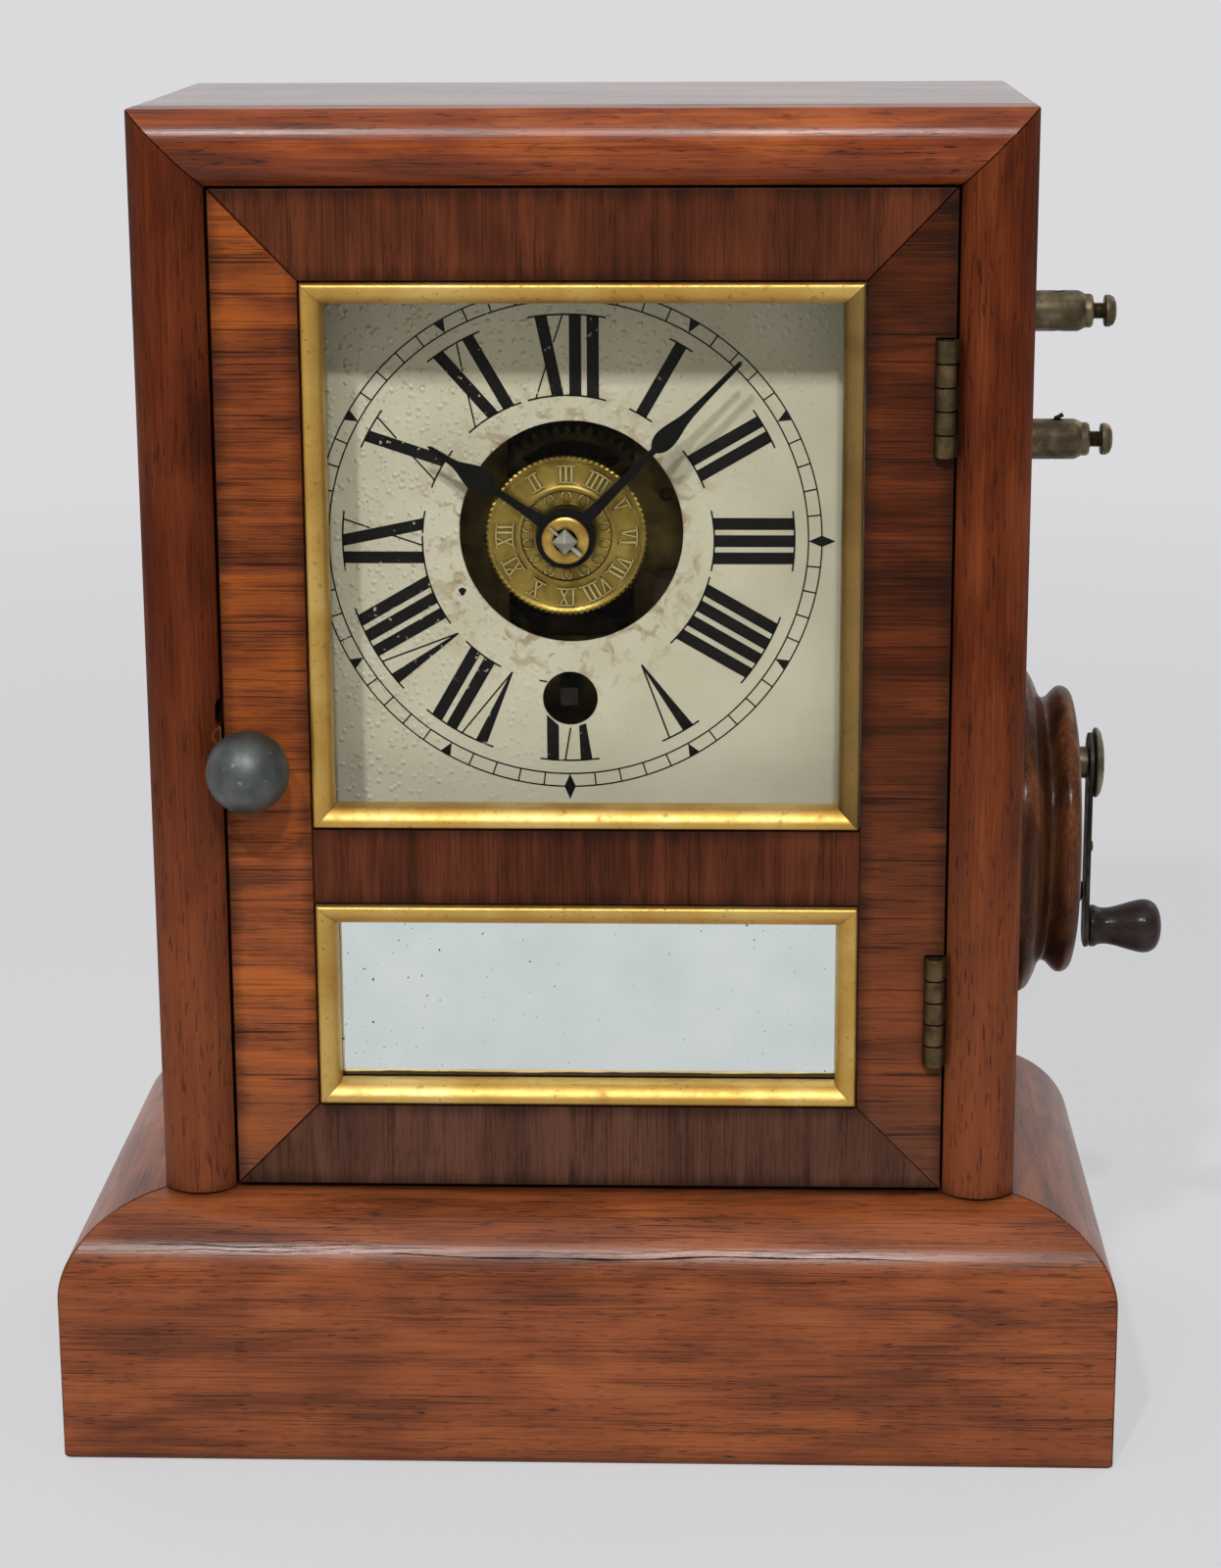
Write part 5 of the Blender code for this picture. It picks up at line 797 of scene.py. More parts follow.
def carve(piece: bpy.types.Object, *cutters: Mesh) -> None:
    """Cuts shapes out of a piece for good, before its edges are softened.

    Args:
        piece: The piece to cut.
        cutters: The shapes, which are used up.
    """
    kept = [(m.width, m.angle_limit) for m in piece.modifiers]
    piece.modifiers.clear()
    tools = []
    for bm in cutters:
        bmesh.ops.recalc_face_normals(bm, faces=bm.faces)
        tools.append(mesh_object("cutter", bm))
        cut = piece.modifiers.new("cut", "BOOLEAN")
        cut.operation, cut.solver, cut.object = "DIFFERENCE", "EXACT", tools[-1]
    done = piece.evaluated_get(bpy.context.evaluated_depsgraph_get())
    fresh = bpy.data.meshes.new_from_object(done)
    piece.modifiers.clear()
    piece.data = fresh
    shade(fresh)
    for tool in tools:
        bpy.data.objects.remove(tool)
    for width, limit in kept:
        soften(piece, width, limit)


def dress(finish: Finish, *nodes: str) -> None:
    """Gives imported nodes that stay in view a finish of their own."""
    for name in nodes:
        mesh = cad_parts[name].data
        mesh.materials.clear()
        mesh.materials.append(finish.material())
        LOG.info("%s is finished in %s", name, finish.name)


@dataclass
class Case:
    """The case: boards, rounded front mouldings and the plinth.

    A crack has its start and end in X, its angle round the plinth's edge and its wander in degrees, and its
    half width. The split has its foot and its height. The notch is given as depth into the edge and height.
    """

    half_width: float = 0.0962
    top: float = 0.300
    foot: float = 0.0586
    moulding_width: float = 0.016
    moulding_rise: float = 0.0043
    moulding_body: float = 0.012
    back: float = 0.1015
    plinth_height: float = 0.0583
    plinth_side: float = 0.0223
    plinth_front: float = 0.0197
    plinth_round: float = 0.020
    plinth_edge: float = 0.0006
    lap: float = 0.009
    mitre: float = 0.00012
    leaf_play: float = 0.0003
    nail_inset: float = 0.0045
    nail_heights: tuple[float, ...] = (0.04, 0.35, 0.66, 0.96)
    nail_head: tuple[Flat, ...] = ((0.0, -0.0004), (0.0015, -0.0004), (0.0016, 0.0001), (0.0011, 0.0003),
                                   (0.0, 0.0004))
    notch: tuple[Flat, ...] = ((-0.002, 0.1662), (0.0007, 0.1672), (0.0010, 0.1692), (0.0007, 0.1722),
                               (-0.002, 0.1745))
    split: Flat = (0.1625, 0.0040)
    steps: int = 30
    cracks: tuple[tuple[float, float, float, float, float], ...] = (
        (-0.052, 0.078, 31.5, 1.1, 0.00024), (-0.108, -0.046, 37.5, 0.8, 0.00013),
        (-0.101, -0.058, 34.0, 0.7, 0.00012), (-0.096, -0.040, 40.5, 0.6, 0.0001),
        (-0.090, -0.030, 36.0, 0.5, 0.00008), (0.006, 0.062, 36.5, 0.8, 0.00009),
        (-0.028, 0.020, 34.5, 0.5, 0.00008))

    def bend(self) -> float:
        """Returns the radius of the front mouldings' rounded face."""
        return ((self.moulding_width / 2) ** 2 + self.moulding_rise ** 2) / (2 * self.moulding_rise)

    def section(self) -> list[Flat]:
        """Returns share of the width and depth round the front moulding's rounded section."""
        radius = self.bend()
        reach = math.asin(self.moulding_width / 2 / radius)
        arc = []
        for i in range(self.steps + 1):
            turn = reach * (2 * i / self.steps - 1)
            arc.append((0.5 + radius * math.sin(turn) / self.moulding_width,
                        radius * (math.cos(reach) - math.cos(turn))))
        return [*arc, (1.0, self.moulding_body), (0.0, self.moulding_body)]

    def inset(self, share: float) -> float:
        """Returns the distance from the case's outside to a share of the mouldings' width."""
        return share * self.moulding_width

    def build_mouldings(self) -> None:
        """Builds the three front mouldings with a hairline at their mitres."""
        section = self.section()
        for name, side in SIDES:
            ends = [lambda share: self.foot, lambda share: self.top - self.inset(share) - 2 * self.mitre]
            bm = skin([[(side * (self.half_width - self.inset(share)), at_depth(depth), end(share))
                        for share, depth in section] for end in ends])
            piece = add_piece(f"rounded_moulding_{name}", bm, MOULDING_WOOD[name], Body.CASE,
                              [f"moulding_{name}"])
            carve(piece, *([self.worn_notch()] if side < 0
                           else [self.leaf_pocket(hinge) for hinge in HINGES]))
        bm = skin([[(side * (self.half_width - self.inset(share) - self.mitre), at_depth(depth),
                     self.top - self.inset(share)) for share, depth in section] for side in (-1, 1)])
        add_piece("rounded_moulding_top", bm, TOP_MOULDING_WOOD, Body.CASE, ["moulding_top"])

    def leaf_pocket(self, hinge: str) -> Mesh:
        """Returns the cutter that lets a hinge's leaf into the right moulding."""
        low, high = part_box(f"{hinge}_hinge_case_leaf")
        return box((high.x - 0.0014, at_depth(0.0012), low.z - self.leaf_play),
                   (high.x + self.leaf_play, high.y + 2 * self.leaf_play, high.z + self.leaf_play))

    def worn_notch(self) -> Mesh:
        """Returns the cutter for the split in the left moulding's inner edge above the knob."""
        inner = self.half_width - self.moulding_width
        return slab([(-u - inner, v) for u, v in smooth_line(self.notch)], at_depth(-0.004), at_depth(0.0045))

    def surface(self, share: float, lift: float) -> float:
        """Returns the Y of the front mouldings' rounded face at a share of their width, less a lift."""
        radius = self.bend()
        across = (share - 0.5) * self.moulding_width
        return at_depth(radius - self.moulding_rise - math.sqrt(radius * radius - across * across) - lift)

    def build_split(self) -> None:
        """Builds the patch of bare wood below the split, where a splinter came away."""
        foot, height = self.split
        loops = []
        for i in range(9):
            wide = 0.012 + 0.095 * math.sin(math.pi * i / 8) ** 0.7
            z = foot + height * i / 8
            corners = ((1.0, 0.00005), (1.0 - wide, 0.00003), (1.0 - wide, -0.0002), (1.0, -0.0002))
            loops.append([(self.inset(share) - self.half_width, self.surface(share, lift), z)
                          for share, lift in corners])
        add_piece("moulding_split_left", skin(loops), BARE_WOOD, Body.CASE)

    def build_cracks(self) -> None:
        """Builds the long crack and the finer ones along the plinth's round, each widest at its middle."""
        bm = bmesh.new()
        for start, end, angle, wander, width in self.cracks:
            count = max(12, int((end - start) / 0.003))
            loops = []
            for i in range(count + 1):
                share = i / count
                sway = math.sin(9 * share + 700 * start) + 0.5 * math.sin(23 * share)
                turn = math.radians(angle + wander * sway)
                swell = 0.2 + 0.8 * math.sqrt(math.sin(math.pi * share))
                half = width * swell * (0.75 + 0.25 * math.sin(41 * share + 300 * start))
                out = Vector((0.0, -math.cos(turn), math.sin(turn)))
                up = Vector((0.0, math.sin(turn), math.cos(turn)))
                spot = Vector((start + (end - start) * share, at_depth(-self.plinth_front * math.cos(turn)),
                               self.plinth_height - self.plinth_round * (1 - math.sin(turn))))
                loops.append([spot + up * half, spot + out * 0.00004, spot - up * half, spot - out * 0.0002])
            skin(loops, bm=bm)
        add_piece("plinth_cracks", bm, CRACK, Body.CASE)

    def build_boards(self) -> None:
        """Builds the sides and the top with softened edges."""
        for node, finish in (("left_side", SIDE_WOOD), ("right_side", SIDE_WOOD), ("top_board", TOP_WOOD)):
            add_piece(f"{node}_planed", box(*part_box(node)), finish, Body.CASE, [node], 0.0003)

    def build_nails(self) -> None:
        """Builds the cut nails that hold the backboard."""
        low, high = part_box("backboard")
        bm = bmesh.new()
        for x in (low.x + self.nail_inset, high.x - self.nail_inset):
            for share in self.nail_heights:
                lathe(self.nail_head, Axis.Y, (x, high.y, low.z + share * (high.z - low.z)), 16, bm=bm)
        add_piece("backboard_nails", bm, OILED_SHADED_STEEL, Body.CASE)

    def plinth_section(self) -> list[Flat]:
        """Returns share of the projection and height round the plinth's section."""
        lap = -self.lap / self.plinth_side
        points = [(lap, 0.0), (1.0 - self.plinth_edge / self.plinth_side, 0.0), (1.0, self.plinth_edge)]
        for i in range(self.steps + 1):
            turn = math.pi / 2 * i / self.steps
            points.append((math.cos(turn), self.plinth_height - self.plinth_round * (1 - math.sin(turn))))
        return [*points, (lap, self.plinth_height)]

    def build_plinth(self) -> None:
        """Builds the plinth's three rounded mouldings, mitred at the front."""
        corners = {side: [(side * (self.half_width + share * self.plinth_side),
                           at_depth(-share * self.plinth_front), z) for share, z in self.plinth_section()]
                   for side in (-1, 1)}
        front = skin([[(x - side * self.mitre, y, z) for x, y, z in corners[side]] for side in (-1, 1)])
        add_piece("rounded_plinth_front", front, PLINTH_WOOD[Axis.X], Body.CASE,
                  ["plinth_front"], 0.0008)
        for name, side in SIDES:
            bm = skin([[(x, y + self.mitre, z) for x, y, z in corners[side]],
                       [(x, at_depth(self.back), z) for x, y, z in corners[side]]])
            add_piece(f"rounded_plinth_{name}", bm, PLINTH_WOOD[Axis.Y], Body.CASE,
                      [f"plinth_{name}"], 0.0008)

    def build(self) -> None:
        """Builds the case and dresses the boards that stay as packed."""
        self.build_mouldings()
        self.build_split()
        self.build_boards()
        self.build_plinth()
        self.build_cracks()
        self.build_nails()
        dress(PINE, "backboard", "floor_board", "bottom_board", "dial_strip_left", "dial_strip_right")


@dataclass
class Door:
    """The door: five veneered members, two gilt frames, glass, mirror, hinges and knob."""

    half_width: float = 0.0796
    bottom: float = 0.0592
    top: float = 0.2834
    front: float = 0.0003
    back: float = 0.0123
    stile: float = 0.0189
    top_rail: float = 0.0196
    bottom_rail: float = 0.0193
    lower_head: float = 0.1258
    upper_sill: float = 0.1430
    rebate: float = 0.0025
    seat: float = 0.0059
    joint: float = 0.00007
    gilt_width: float = 0.0049
    gilt_depth: float = 0.0053
    gilt_crest: float = 0.0013
    gilt_seat: float = 0.0003
    gilt_joint: float = 0.00004
    gilt_face: tuple[Flat, ...] = ((0.0, 0.3), (0.02, -0.4), (0.08, -0.85), (0.22, -1.0), (0.42, -0.88),
                                   (0.64, -0.48), (0.83, 0.1), (0.95, 0.75), (1.0, 1.5))
    leaf: float = 0.001
    knuckles: int = 5
    knuckle_bore: float = 0.0012
    knuckle_radius: float = 0.0023
    knuckle_edge: float = 0.0002
    notch_radius: float = 0.0026
    notch_play: float = 0.0003
    knob_gap: float = 0.0003
    knob_root: float = 0.0036
    knob_neck: tuple[Flat, ...] = ((0.002, 0.0), (0.0048, 0.0), (0.0049, 0.0006), (0.0041, 0.0012),
                                   (0.0033, 0.0022))

    def step_section(self, width: float) -> list[Flat]:
        """Returns distance from the outer edge and depth round a member with its glass rebate."""
        inner = width - self.rebate
        return [(0.0, self.front), (width, self.front), (width, self.seat), (inner, self.seat),
                (inner, self.back), (0.0, self.back)]

    def build_members(self) -> None:
        """Builds the stiles and rails with fine lines at their joints."""
        for name, side in SIDES:
            loops: list[list[Point]] = [[], []]
            for inset, depth in self.step_section(self.stile):
                x, y = side * (self.half_width - inset), at_depth(depth)
                share = inset / self.stile
                loops[0].append((x, y, self.bottom + share * self.bottom_rail + self.joint))
                loops[1].append((x, y, self.top - share * self.top_rail - self.joint))
            piece = add_piece(f"door_stile_{name}", skin(loops), STILE_WOOD[name], Body.DOOR,
                              ["door_frame"] if side < 0 else [], 0.0004)
            if side > 0:
                carve(piece, *self.hinge_notches())
        for name, finish, width, edge, sign in (("top", RAIL_WOOD, self.top_rail, self.top, -1),
                                                ("bottom", FOOT_RAIL_WOOD, self.bottom_rail, self.bottom, 1)):
            bm = skin([[(side * (self.half_width - inset / width * self.stile - self.joint), at_depth(depth),
                         edge + sign * inset) for inset, depth in self.step_section(width)]
                       for side in (-1, 1)])
            add_piece(f"door_rail_{name}", bm, finish, Body.DOOR, [], 0.0004)
        low, high, tuck = self.lower_head, self.upper_sill, self.rebate
        section = [(low, self.front), (high, self.front), (high, self.seat), (high - tuck, self.seat),
                   (high - tuck, self.back), (low + tuck, self.back), (low + tuck, self.seat),
                   (low, self.seat)]
        reach = self.half_width - self.stile - self.joint
        bm = skin([[(side * reach, at_depth(depth), height) for height, depth in section]
                   for side in (-1, 1)])
        add_piece("door_rail_middle", bm, RAIL_WOOD, Body.DOOR, [], 0.0003)

    def hinge_notches(self) -> list[Mesh]:
        """Returns the cutters that let the knuckles and the door leaves into the right stile."""
        cutters = []
        for hinge in HINGES:
            pin_low, pin_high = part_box(f"{hinge}_hinge_pin")
            low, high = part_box(f"{hinge}_hinge_door_leaf")
            middle = (pin_low + pin_high) / 2
            play = self.notch_play
            ends = [(self.notch_radius, z) for z in (pin_low.z - play, pin_high.z + play)]
            cutters.append(lathe(ends, Axis.Z, (middle.x, middle.y, 0.0), 28))
            cutters.append(box((self.half_width - self.leaf - play, at_depth(0.0016), low.z - play),
                               (self.half_width + 0.002, high.y + 0.0004, high.z + play)))
        return cutters

    def gilt_section(self) -> list[Flat]:
        """Returns inset from the opening and depth round a gilt strip: a round crest and a long slope."""
        width, root = self.gilt_width - self.gilt_seat, self.front + self.gilt_depth
        face = [(self.gilt_seat + share * width, self.front + rise * self.gilt_crest)
                for share, rise in smooth_line(self.gilt_face, 4)]
        return [(self.gilt_seat, root), *face, (self.gilt_width, root)]

    def build_gilt(self, name: str, low: float, high: float) -> None:
        """Builds a gilt frame of four strips mitred round a window, with the upper right one in a darker
        copy, painted shade.

        Args:
            name: Which window, upper or lower.
            low: Z of the opening's sill.
            high: Z of its head.
        """
        half = self.half_width - self.stile
        bm = bmesh.new()
        corners = [(-half, low, 1, 1), (half, low, -1, 1), (half, high, -1, -1), (-half, high, 1, -1)]
        for i, (run_x, run_z) in enumerate(((1, 0), (0, 1), (-1, 0), (0, -1))):
            loops = []
            for (x, z, u, v), slip in ((corners[i], self.gilt_joint),
                                       (corners[(i + 1) % 4], -self.gilt_joint)):
                loops.append([(x + u * inset + run_x * slip, at_depth(depth), z + v * inset + run_z * slip)
                              for inset, depth in self.gilt_section()])
            known = set(bm.faces)
            skin(loops, bm=bm)
            for face in set(bm.faces) - known:
                # The upper window's right strip takes the darker copy of the leaf: painted shade.
                face.material_index = int(i == 1 and name == "upper")
        piece = add_piece(f"gilt_strips_{name}", bm, GILT, Body.DOOR, [f"gilt_frame_{name}"],
                          crease=40.0)
        piece.data.materials.append(SHADED_GILT.material())

    def build_hinge(self, hinge: str) -> None:
        """Builds a butt hinge's two leaves with round knuckles."""
        pin_low, pin_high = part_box(f"{hinge}_hinge_pin")
        middle = (pin_low + pin_high) / 2
        pitch = (pin_high.z - pin_low.z) / self.knuckles
        bore, radius, edge = self.knuckle_bore, self.knuckle_radius, self.knuckle_edge
        for leaf, parity, body, depth in (("case", 0, Body.CASE, 0.0015), ("door", 1, Body.DOOR, 0.0019)):
            low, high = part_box(f"{hinge}_hinge_{leaf}_leaf")
            outer, start = (self.half_width if parity else high.x), at_depth(depth)
            inner = outer - self.leaf
            bm = box((inner, start, pin_low.z), (outer, high.y, pin_high.z))
            for i in range(parity, self.knuckles, 2):
                foot = pin_low.z + i * pitch + edge / 2
                head = foot + pitch - edge
                lathe([(bore, foot), (radius - edge, foot), (radius, foot + edge), (radius, head - edge),
                       (radius - edge, head), (bore, head)], Axis.Z, (middle.x, middle.y, 0.0), 28, True, bm)
                box((middle.x + bore, middle.y + 0.0011, foot), (inner + 0.0004, start + 0.0004, head), bm)
            add_piece(f"{hinge}_hinge_{leaf}_plate", bm, HINGE_BRASS, body,
                      [f"{hinge}_hinge_{leaf}_leaf"], 0.0001)
        dress(STEEL, f"{hinge}_hinge_pin")

    def build_knob(self) -> None:
        """Builds the ball knob with its neck and collar."""
        low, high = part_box("door_knob")
        radius = (high.x - low.x) / 2
        face = at_depth(self.front) - self.knob_gap
        profile = [(0.0, high.y), (0.002, high.y), *[(wide, face - out) for wide, out in self.knob_neck]]
        start = math.asin(self.knob_root / radius)
        steps = 24
        for i in range(steps + 1):
            turn = start + (math.pi - start) * i / steps
            profile.append((radius * math.sin(turn) if i < steps else 0.0,
                            low.y + radius + radius * math.cos(turn)))
        bm = lathe(profile, Axis.Y, ((low.x + high.x) / 2, 0.0, (low.z + high.z) / 2), 56)
        add_piece("ball_knob", bm, KNOB_METAL, Body.LATCH, ["door_knob"])

    def build(self) -> None:
        """Builds the door and dresses the panes and the latch."""
        self.build_members()
        self.build_gilt("upper", self.upper_sill, self.top - self.top_rail)
        self.build_gilt("lower", self.bottom + self.bottom_rail, self.lower_head)
        for hinge in HINGES:
            self.build_hinge(hinge)
        self.build_knob()
        for finish, node in ((GLASS, "glass_pane"), (MIRROR, "mirror_pane"), (PINE, "mirror_backing"),
                             (POST_BRASS, "door_latch")):
            dress(finish, node)
        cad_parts["glass_pane"].visible_shadow = False


@dataclass
class Lettering:
    """Roman numerals as bars between two circles about a centre."""

    centre: Flat
    inner: float
    outer: float
    bar: float
    pitch: float
    wide: float
    thin: float
    serif: float

    @staticmethod
    def clear_of(outline: Sequence[Flat], hole: Flat, radius: float) -> list[Flat]:
        """Returns a stroke's outline cut off at a round hole.

        Args:
            outline: The stroke's corners.
            hole: The hole's centre.
            radius: The hole's radius.

        Returns:
            The longest run of its edge outside the hole, or the outline itself where they don't meet.
        """
        spots = [tuple(Vector(start).lerp(Vector(end), step / 40))
                 for start, end in zip(outline, [*outline[1:], outline[0]]) for step in range(40)]
        inside = [math.dist(spot, hole) < radius for spot in spots]
        if not any(inside):
            return list(outline)
        first = inside.index(True)
        runs: list[list[Flat]] = [[]]
        for i in range(first, first + len(spots)):
            if not inside[i % len(spots)]:
                runs[-1].append(spots[i % len(spots)])
            elif runs[-1]:
                runs.append([])
        return max(runs, key=len)

    def place(self, hour: float, across: float, radius: float) -> Flat:
        """Returns the point beside an hour's own line, at a radius from the centre."""
        angle = math.radians(30.0 * hour)
        up = math.sqrt(max(radius * radius - across * across, 0.0))
        return (self.centre[0] + up * math.sin(angle) + across * math.cos(angle),
                self.centre[1] + up * math.cos(angle) - across * math.sin(angle))

    def stroke(self, hour: float, inner: Flat, outer: Flat, low: float = 0.0,
               high: float = 1.0) -> list[Flat]:
        """Returns a straight stroke.

        Args:
            hour: The hour that the numeral stands at.
            inner: Places of its two sides across the numeral, at the inner circle.
            outer: The same at the outer circle.
            low: Share of the way out where the stroke begins.
            high: Share of the way out where it ends.

        Returns:
            The stroke's four corners.
        """
        corners = []
        for share, side in ((low, 0), (low, 1), (high, 1), (high, 0)):
            across = inner[side] + (outer[side] - inner[side]) * share
            corners.append(self.place(hour, across, self.inner + (self.outer - self.inner) * share))
        return corners

    def arc(self, hour: float, start: float, end: float, radius: float) -> list[Flat]:
        """Returns a thin serif line along a circle, from one place across the numeral to another."""
        steps = 10
        places = [start + (end - start) * i / steps for i in range(steps + 1)]
        half = self.thin / 2
        return ([self.place(hour, across, radius - half) for across in places]
                + [self.place(hour, across, radius + half) for across in reversed(places)])

    def numeral(self, hour: float, text: str) -> list[list[Flat]]:
        """Returns the strokes of a numeral, read from its foot at the inner circle.

        Args:
            hour: The hour that it stands at.
            text: The numeral, of I, V and X.

        Returns:
            The outlines of its strokes.
        """
        bar, thin, gap = self.bar, self.thin, self.pitch - self.bar
        widths = [bar if letter == "I" else self.wide for letter in text]
        start = left = -(sum(widths) + gap * (len(text) - 1)) / 2
        outlines, feet = [], []
        for letter, width in zip(text, widths):
            end = left + width
            if letter == "I":
                outlines.append(self.stroke(hour, (left, end), (left, end)))
            elif letter == "V":
                apex = (left + width / 2 - thin / 2, left + width / 2 + thin / 2)
                outlines += [self.stroke(hour, apex, outer)
                             for outer in ((left, left + bar), (end - thin, end))]
            else:
                cross = 2 * width - bar - thin
                outlines.append(self.stroke(hour, (end - bar, end), (left, left + bar)))
                for low, high in ((0.0, (width - bar) / cross), (width / cross, 1.0)):
                    outlines.append(self.stroke(hour, (left, left + thin), (end - thin, end), low, high))
            if letter != "V":
                feet += [left, end]
            left = end + gap
        outlines.append(self.arc(hour, start - self.serif, left - gap + self.serif, self.outer))
        if feet:
            outlines.append(self.arc(hour, min(feet) - self.serif, max(feet) + self.serif, self.inner))
        return outlines


@dataclass
class Dial:
    """The painted dial sheet with its numerals and minute track."""

    hole: Flat = (-0.0038, 0.2053)
    hole_radius: float = 0.02505
    winding: Flat = (-0.0043, 0.1671)
    winding_radius: float = 0.0062
    centre: Flat = (DIAL_CENTRE[0], DIAL_CENTRE[2])
    ring_outer: float = 0.0567
    ring_inner: float = 0.0537
    chip: Flat = (-0.0284, 0.1917)
    line: float = 0.00034
    mark_half: float = 0.0013
    paint_lift: float = 0.00004

    def build_sheet(self) -> None:
        """Builds the sheet with its two round holes."""
        low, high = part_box("dial")
        outline = [(low.x, low.z), (high.x, low.z), (high.x, high.z), (low.x, high.z)]
        holes = [ring(self.hole_radius, self.hole, 96), ring(self.winding_radius, self.winding, 48)]
        add_piece("dial_sheet", slab(outline, low.y, high.y, holes), PAINT, Body.CASE, ["dial"],
                  0.00015)

    def build_lettering(self) -> None:
        """Builds the numerals, the chip and the minute track as thin layers of paint."""
        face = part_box("dial")[0].y
        near = face - self.paint_lift
        letters = Lettering(self.centre, inner=0.0327, outer=0.0506, bar=0.0027, pitch=0.0039, wide=0.0064,
                            thin=0.0004, serif=0.0016)
        bm = bmesh.new()
        for hour, text in enumerate(NUMERALS):
            for outline in letters.numeral(hour, text):
                spots = letters.clear_of(outline, self.winding, self.winding_radius + 0.0003)
                if len(spots) > 2:
                    slab(spots, near, face, bm=bm)
        x, z = self.chip
        slab([(x + (0.0008 + 0.0002 * math.sin(3 * a)) * math.cos(a), z + 0.0009 * math.sin(a))
              for a in turns(24)], near, face, bm=bm)
        add_piece("dial_numerals", bm, INK, Body.CASE)
        bm = bmesh.new()
        for radius in (self.ring_outer, self.ring_inner):
            outer, inner = (ring(radius + half, self.centre, 180) for half in (self.line / 2, -self.line / 2))
            slab(outer, near, face, [inner], bm)
        for minute in range(60):
            slab(self.mark(minute, letters), face - 1.5 * self.paint_lift, face, bm=bm)
        add_piece("dial_minute_track", bm, INK, Body.CASE)

    def mark(self, minute: int, letters: Lettering) -> list[Flat]:
        """Returns a minute's mark: a diamond at the quarters, a triangle at the other hours, else a line."""
        inner, outer, wide, half = self.ring_inner, self.ring_outer, self.mark_half, self.line / 2
        middle = (outer + inner) / 2
        if minute % 15 == 0:
            spots = ((0.0, inner), (wide, outer), (0.0, 2 * outer - inner), (-wide, outer))
        elif minute % 5 == 0:
            spots = ((0.0, inner), (wide, outer), (-wide, outer))
        else:
            spots = ((half, inner), (half, middle), (half, outer), (-half, outer), (-half, middle),
                     (-half, inner))
        return [letters.place(minute / 5, across, radius) for across, radius in spots]

    def build(self) -> None:
        """Builds the dial."""
        self.build_sheet()
        self.build_lettering()


